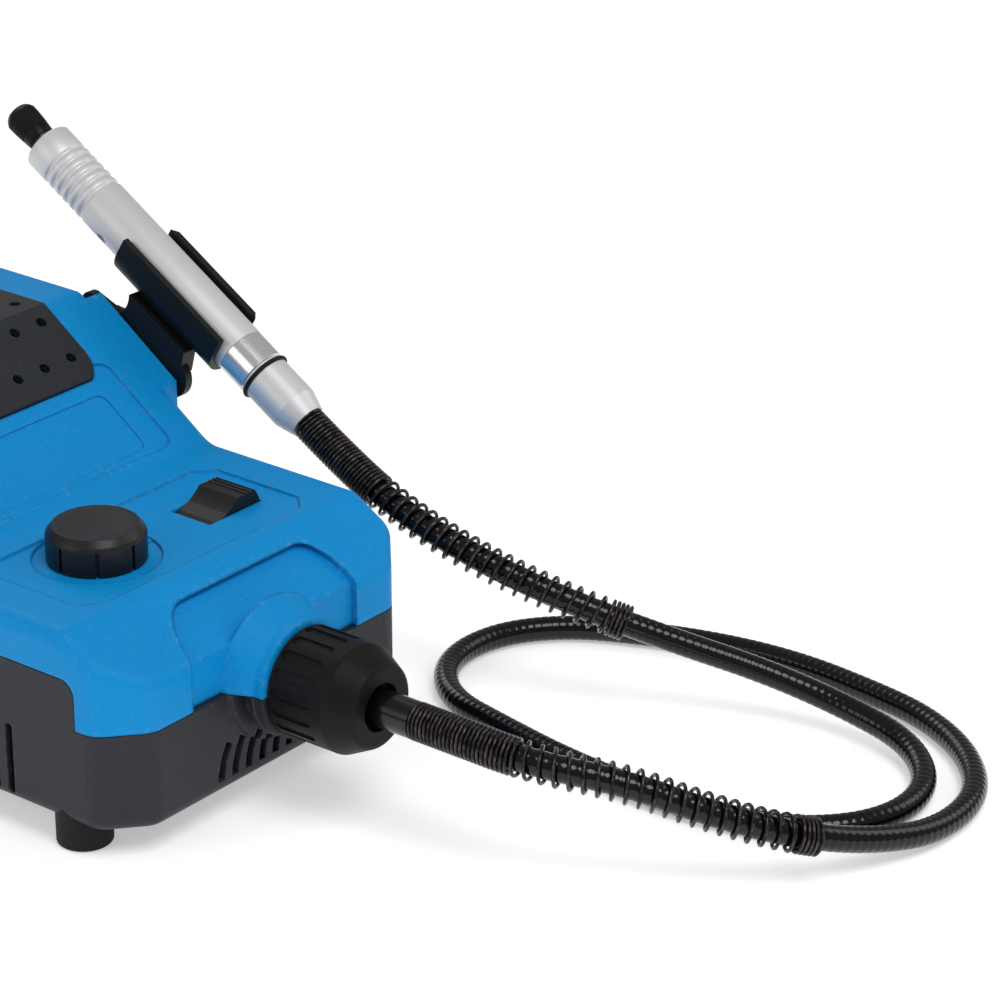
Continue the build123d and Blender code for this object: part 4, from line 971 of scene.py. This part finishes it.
@dataclass
class FlexibleShaft:
    """The jacketed sleeve between the station and the handpiece, with its guards.

    Attributes:
        radius: Radius over the ribs, in metres.
        groove: Depth of the grooves between the ribs.
        rib_pitch: Distance from rib to rib.
        sides: Points round the sleeve.
        steps: Rows of points for each rib.
    """

    radius: float = 0.0047
    groove: float = 0.00016
    rib_pitch: float = 0.0030
    sides: int = 20
    steps: int = 5
    pieces: list[Piece] = field(default_factory=list)

    def lay_route(self) -> Line:
        """Lay the smooth line through the route's points.

        Returns:
            The line that every part of the shaft follows.
        """
        data = bpy.data.curves.new("shaft_route", "CURVE")
        data.dimensions = "3D"
        data.resolution_u = 24
        spline = data.splines.new("NURBS")
        spline.points.add(len(SHAFT_ROUTE) - 1)
        for point, place in zip(spline.points, SHAFT_ROUTE):
            point.co = (*at(*place), 1.0)
        spline.use_endpoint_u = True
        spline.order_u = 3
        guide = bpy.data.objects.new("shaft_route", data)
        bpy.context.scene.collection.objects.link(guide)
        bpy.context.view_layer.update()
        mesh = bpy.data.meshes.new_from_object(guide)
        points = [vertex.co.copy() for vertex in mesh.vertices]
        bpy.data.objects.remove(guide)
        bpy.data.meshes.remove(mesh)
        return Line(points)

    def build_sleeve(self, line: Line) -> Piece:
        """Skin the ribbed sleeve.

        Args:
            line: The shaft's line.

        Returns:
            The sleeve.
        """
        count = int(line.total / self.rib_pitch) * self.steps
        distances = [line.total * row / count for row in range(count + 1)]
        rings, ribs = [], []
        for row, (point, side, up) in enumerate(line.walk(distances)):
            rise = math.sin(math.pi * (row % self.steps) / self.steps) ** 0.6
            rings.append(ring_round(point, side, up, self.radius - self.groove * (1 - rise), self.sides))
            # The rib values also drive the jacket's painted highlight on the ridges and painted shade in
            # the grooves.
            ribs.extend([rise] * self.sides)
        return grid_piece("shaft_sleeve", rings, Skin.CAPPED, {"rib": ribs})

    def build(self) -> None:
        """Make the sleeve and its guards, and tie the station's guard to the station."""
        line = self.lay_route()
        sleeve = self.build_sleeve(line)
        base = SpringGuard(End.STATION).build(line)
        hand = SpringGuard(End.HANDPIECE).build(line)
        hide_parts("flex_sleeve", "flex_core")
        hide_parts("base_spring_guard")
        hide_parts("handpiece_spring_guard")
        low = at(100, -12, 37)
        for piece in (sleeve, hand):
            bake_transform(piece)
        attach(base, "station")
        tuple(at(*SHAFT_ROUTE[0]))
        self.pieces = [sleeve, base, hand]

    def dress(self, finishes: Finishes) -> None:
        """Finish the sleeve, the wire and the ferrule."""
        sleeve, base, hand = self.pieces
        finishes.put(Paint.JACKET, sleeve)
        finishes.put(Paint.WIRE, base, hand)
        finishes.put_nodes({Paint.FERRULE: "base_ferrule"})


# --- casing and its fittings
class Casing:
    """The shells, feet, screws and bit rack."""

    def dress(self, finishes: Finishes) -> None:
        """Finish the shells and what is fixed to them."""
        finishes.put_nodes({
            Paint.BLUE: "upper_shell",
            Paint.CHARCOAL: "lower_shell",
            Paint.RACK: "bit_rack_panel",
            Paint.FOOT: "rubber_feet",
            Paint.STEEL: "case_screws",
        })


class DriveLine:
    """Nose collar, coupling nut, spindle and motor."""

    def dress(self, finishes: Finishes) -> None:
        """Finish the drive from the nut to the motor's end bell."""
        finishes.put_nodes({
            Paint.NUT: "coupling_nut",
            Paint.BLACKENED: "nose_collar thrust_ring",
            Paint.STEEL: "spindle_bearings drive_spindle core_drive_tang shaft_coupler "
                         "motor_shaft motor_can motor_bearings armature_core",
            Paint.CONTROL: "cooling_fan",
            Paint.BELL: "motor_end_bell",
            Paint.IRON: "motor_brushes motor_magnets",
            Paint.COPPER: "armature_windings commutator",
        })


@dataclass
class SpeedKnob:
    """Hollow knob with straight sides, a soft rim, a dished top and upright slots.

    Attributes:
        foot: Middle of the knob's underside, in millimetres.
        radius: Radius of the sides.
        top_radius: Radius where the rim meets the top.
        side: Height of the sides.
        rim: Height of the rim over the sides.
        wall: Thickness of the sides.
        roof: Thickness over the hollow.
        soft: Width of the rounding along the rim.
        land: Width of the flat ring round the dish.
        dish: Depth of the dish.
        slots: Slots round the sides.
        slot_width: Width of a slot.
        slot_depth: Depth of a slot into the side.
        slot_height: Height of a slot over the underside.
        sides: Points round the knob.
    """

    foot: Point = (-22.8, 62.7, 81.3)
    radius: float = 17.9
    top_radius: float = 15.4
    side: float = 10.2
    rim: float = 2.8
    wall: float = 2.3
    roof: float = 3.5
    soft: float = 1.1
    land: float = 2.6
    dish: float = 0.35
    slots: int = 8
    slot_width: float = 1.2
    slot_depth: float = 1.4
    slot_height: float = 9.4
    sides: int = 120

    def build(self) -> Piece:
        """Shape the knob from a cylinder and cut its slots.

        Returns:
            The knob, riding on its own body.
        """
        x, y, low = self.foot
        shoulder, top = low + self.side, low + self.side + self.rim
        clear_selection()
        bpy.ops.mesh.primitive_cylinder_add(vertices=self.sides, radius=self.radius * MM,
                                            depth=self.side * MM, location=at(x, y, low + self.side / 2))
        knob = bpy.context.object
        knob.name = "speed_knob_shell"
        bpy.ops.object.transform_apply(location=True, rotation=True, scale=True)
        bpy.ops.object.mode_set(mode="EDIT")
        pick("FACE", lambda face: face.normal.z > 0.9)
        bpy.ops.mesh.extrude_region_move(TRANSFORM_OT_translate={"value": (0, 0, self.rim * MM)})
        share = self.top_radius / self.radius
        bpy.ops.transform.resize(value=(share, share, 1.0), center_override=at(x, y, top))
        bpy.ops.mesh.inset(thickness=self.land * MM)
        for step in range(4):
            bpy.ops.mesh.inset(thickness=self.top_radius / 6 * MM, depth=-self.dish / (step + 2) * MM)
        pick("FACE", lambda face: face.normal.z < -0.9)
        bpy.ops.mesh.inset(thickness=self.wall * MM)
        bpy.ops.mesh.extrude_region_move(
            TRANSFORM_OT_translate={"value": (0, 0, (self.side + self.rim - self.roof) * MM)})
        pick("EDGE", lambda edge: all(abs(end.co.z - shoulder * MM) < 0.00001 for end in edge.verts))
        bpy.ops.mesh.bevel(offset=self.soft * MM, segments=5, affect="EDGES")
        bpy.ops.object.mode_set(mode="OBJECT")
        for slot in range(self.slots):
            turn = 2 * math.pi * slot / self.slots
            reach = self.radius + 1.0 - self.slot_depth / 2
            clear_selection()
            bpy.ops.mesh.primitive_cube_add(
                size=MM, location=at(x + reach * math.cos(turn), y + reach * math.sin(turn),
                                     low + self.slot_height / 2 - 0.5),
                rotation=(0.0, 0.0, turn),
                scale=(self.slot_depth + 2.0, self.slot_width, self.slot_height + 1.0))
            cut(knob, bpy.context.object)
        select_only(knob)
        bpy.ops.object.shade_smooth_by_angle(angle=math.radians(30))
        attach(knob, "knob")
        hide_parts("speed_knob")
        return knob


@dataclass
class Controls:
    """Speed knob, rocker, and the board behind them."""

    knob: SpeedKnob = field(default_factory=SpeedKnob)

    def dress(self, finishes: Finishes) -> None:
        """Make the knob and finish the controls."""
        finishes.put(Paint.CONTROL, self.knob.build())
        finishes.put_nodes({
            Paint.CONTROL: "power_rocker switch_body",
            Paint.STEEL: "potentiometer_body potentiometer_shaft rocker_pin",
            Paint.BOARD: "control_board",
            Paint.IRON: "board_parts",
        })


class Battery:
    """Sliding battery at the back."""

    def dress(self, finishes: Finishes) -> None:
        """Finish the battery and its terminals."""
        finishes.put_nodes({
            Paint.CHARCOAL: "battery_case battery_end_cap",
            Paint.BLUE: "battery_release_button",
            Paint.WRAP: "battery_cells",
            Paint.CONTROL: "terminal_block",
        })


@dataclass
class GripBarrel:
    """Barrel of the handpiece, with soft finger grooves and the lock pin's hole.

    Attributes:
        start: Millimetres from the tail to the barrel's rear.
        end: Millimetres from the tail to its front.
        radius: Outside radius, in millimetres.
        bore: Inside radius.
        nose_bore: Radius of the hole in the front wall.
        wall: Thickness of the front wall.
        grooves: Finger grooves.
        groove_pitch: Distance from groove to groove.
        groove_width: Width of one groove.
        groove_depth: Depth of one groove.
        first_groove: Distance of the foremost groove from the tail.
        hole_place: Distance of the lock pin's hole from the tail.
        hole_radius: Radius of that hole.
        hole_turn: Radians round the axis to that hole.
        sides: Points round the barrel.
    """

    start: float = 38.5
    end: float = 153.0
    radius: float = 10.0
    bore: float = 8.0
    nose_bore: float = 4.4
    wall: float = 3.0
    grooves: int = 6
    groove_pitch: float = 4.0
    groove_width: float = 2.9
    groove_depth: float = 0.75
    first_groove: float = 141.4
    hole_place: float = 108.4
    hole_radius: float = 2.25
    hole_turn: float = math.radians(-150.0)
    sides: int = 128

    def _grip(self) -> list[tuple[float, float]]:
        """Outside of the grooved length, from the rear to the front."""
        rows = []
        steps = 12
        for groove in reversed(range(self.grooves)):
            middle = self.first_groove - groove * self.groove_pitch
            for step in range(steps + 1):
                share = step / steps
                dip = self.groove_depth * (0.5 - 0.5 * math.cos(2 * math.pi * share)) ** 0.8
                rows.append((middle + (share - 0.5) * self.groove_width, self.radius - dip))
        return rows

    def _profile(self) -> list[tuple[float, float]]:
        """Closed section of the barrel's wall."""
        edge, lip = 0.08, 0.7
        front = self.end - self.wall
        return [
            (self.start, self.bore), (self.start, self.radius - edge), (self.start + edge, self.radius),
            (self.start + 2 * edge, self.radius), (self.start + 20, self.radius), *self._grip(),
            (self.end - lip - edge, self.radius), (self.end - lip, self.radius - edge / 2),
            (self.end - edge, self.radius - lip), (self.end, self.radius - lip - edge),
            (self.end, self.nose_bore + edge), (self.end - edge, self.nose_bore),
            (front, self.nose_bore), (front, self.bore - edge), (front - edge, self.bore)]

    def build(self) -> Piece:
        """Turn the barrel and bore the lock pin's hole.

        Returns:
            The barrel, riding with the handpiece.
        """
        barrel = turned_piece("grip_barrel", self._profile(), self.sides)
        outside = on_hand_axis(self.hole_place, self.radius, self.hole_turn)
        outward = outside - on_hand_axis(self.hole_place, 0.0, 0.0)
        clear_selection()
        bpy.ops.mesh.primitive_cylinder_add(
            vertices=40, radius=self.hole_radius * MM, depth=self.radius * MM, location=outside,
            rotation=outward.to_track_quat("Z", "Y").to_euler())
        cut(barrel, bpy.context.object)
        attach(barrel, "handpiece")
        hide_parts("handpiece_barrel")
        return barrel


@dataclass
class KnurledNut:
    """Tapered collet nut with a diamond knurl and a domed end.

    Attributes:
        start: Millimetres from the tail to the nut's rear.
        knurl_start: Distance where the knurl begins.
        knurl_end: Distance where it ends.
        end: Distance of the nut's front.
        root: Radius at the rear, in millimetres.
        radius: Largest radius.
        bore: Radius over the spindle.
        mouth: Radius of the hole in the front.
        diamonds: Diamonds round the nut.
        step: Length of a diamond along the nut.
        depth: Depth of the knurl.
        mouth_depth: Length of the hole in the front.
        throat: Radius behind that hole.
        throat_depth: Millimetres from the front to the throat's end.
        sides: Points round the nut.
        rows: Rows of points along the knurl.
    """

    start: float = 155.9
    knurl_start: float = 159.6
    knurl_end: float = 168.6
    end: float = HAND_LENGTH
    root: float = 5.5
    radius: float = 6.4
    bore: float = 4.05
    mouth: float = 2.7
    diamonds: int = 32
    step: float = 1.25
    depth: float = 0.30
    mouth_depth: float = 2.2
    throat: float = 3.8
    throat_depth: float = 5.4
    sides: int = 256
    rows: int = 52

    def _outside(self, distance: float) -> float:
        """Radius of the tapered outside at a distance."""
        share = min(1.0, (distance - self.start) / (self.knurl_end - self.start))
        return self.root + (self.radius - self.root) * math.sin(share * math.pi / 2)

    def _relief(self, distance: float, turn: float) -> float:
        """Depth of the crossed grooves at a place."""
        run_out = 0.3
        into = min(1.0, max(0.0, (distance - self.knurl_start) / run_out))
        out = min(1.0, max(0.0, (self.knurl_end - distance) / run_out))
        around, along = turn * self.diamonds / (2 * math.pi), distance / self.step
        gaps = [abs((value + 0.5) % 1.0 - 0.5) for value in (around + along, around - along)]
        return self.depth * min(into, out) * max(0.0, 1 - min(gaps) * 4)

    def build(self) -> Piece:
        """Turn and knurl the nut.

        Returns:
            The nut, riding on its own body.
        """
        length = self.knurl_end - self.knurl_start
        knurl = [self.knurl_start + length * row / self.rows for row in range(self.rows + 1)]
        taper = [self.start + 0.15, (self.start + self.knurl_start) / 2, self.knurl_start - 0.1]
        outside = [(place, self._outside(place)) for place in taper + knurl]
        dome = ((0.95, 0.1), (0.65, 0.45), (0.35, 1.0), (0.12, 1.7), (0.0, 2.5))
        nose = self.end - self.knurl_end
        profile = [(self.start, self.bore), (self.start, self.root - 0.1), *outside,
                   *((self.end - share * nose, self.radius - drop) for share, drop in dome),
                   (self.end, self.mouth + 0.1), (self.end - 0.1, self.mouth),
                   (self.end - self.mouth_depth, self.mouth), (self.end - self.throat_depth, self.throat),
                   (self.end - self.throat_depth - 0.2, self.bore)]
        nut = turned_piece("knurled_nut", profile, self.sides, self._relief)
        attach(nut, "collet_nut_body")
        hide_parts("collet_nut")
        return nut


@dataclass
class Handpiece:
    """Handpiece with its chuck, and the holder that it lies in."""

    barrel: GripBarrel = field(default_factory=GripBarrel)
    nut: KnurledNut = field(default_factory=KnurledNut)

    def dress(self, finishes: Finishes) -> None:
        """Make the barrel and the nut, and finish the handpiece and the holder."""
        finishes.put(Paint.ALUMINIUM, self.barrel.build())
        finishes.put(Paint.BLACKENED, self.nut.build())
        finishes.put_nodes({
            Paint.ALUMINIUM: "handpiece_tail",
            Paint.POLISHED: "lock_ring",
            Paint.FOOT: "handpiece_o_ring",
            Paint.STEEL: "handpiece_bearings handpiece_spindle collet holder_screws",
            Paint.HOLDER: "holder_bracket",
        })


def main() -> None:
    """Build and dress every sub-assembly, and log each one as it is dressed."""
    logging.basicConfig(level=logging.INFO, format="%(name)s: %(message)s")
    studio = Studio()
    studio.set_camera()
    shaft = FlexibleShaft()
    shaft.build()
    studio.lay_floor()
    studio.set_lights()
    finishes = Finishes()
    for assembly in (shaft, Casing(), DriveLine(), Controls(), Battery(), Handpiece()):
        assembly.dress(finishes)
        LOG.info("%s dressed", type(assembly).__name__)


if __name__ == "__main__":
    main()
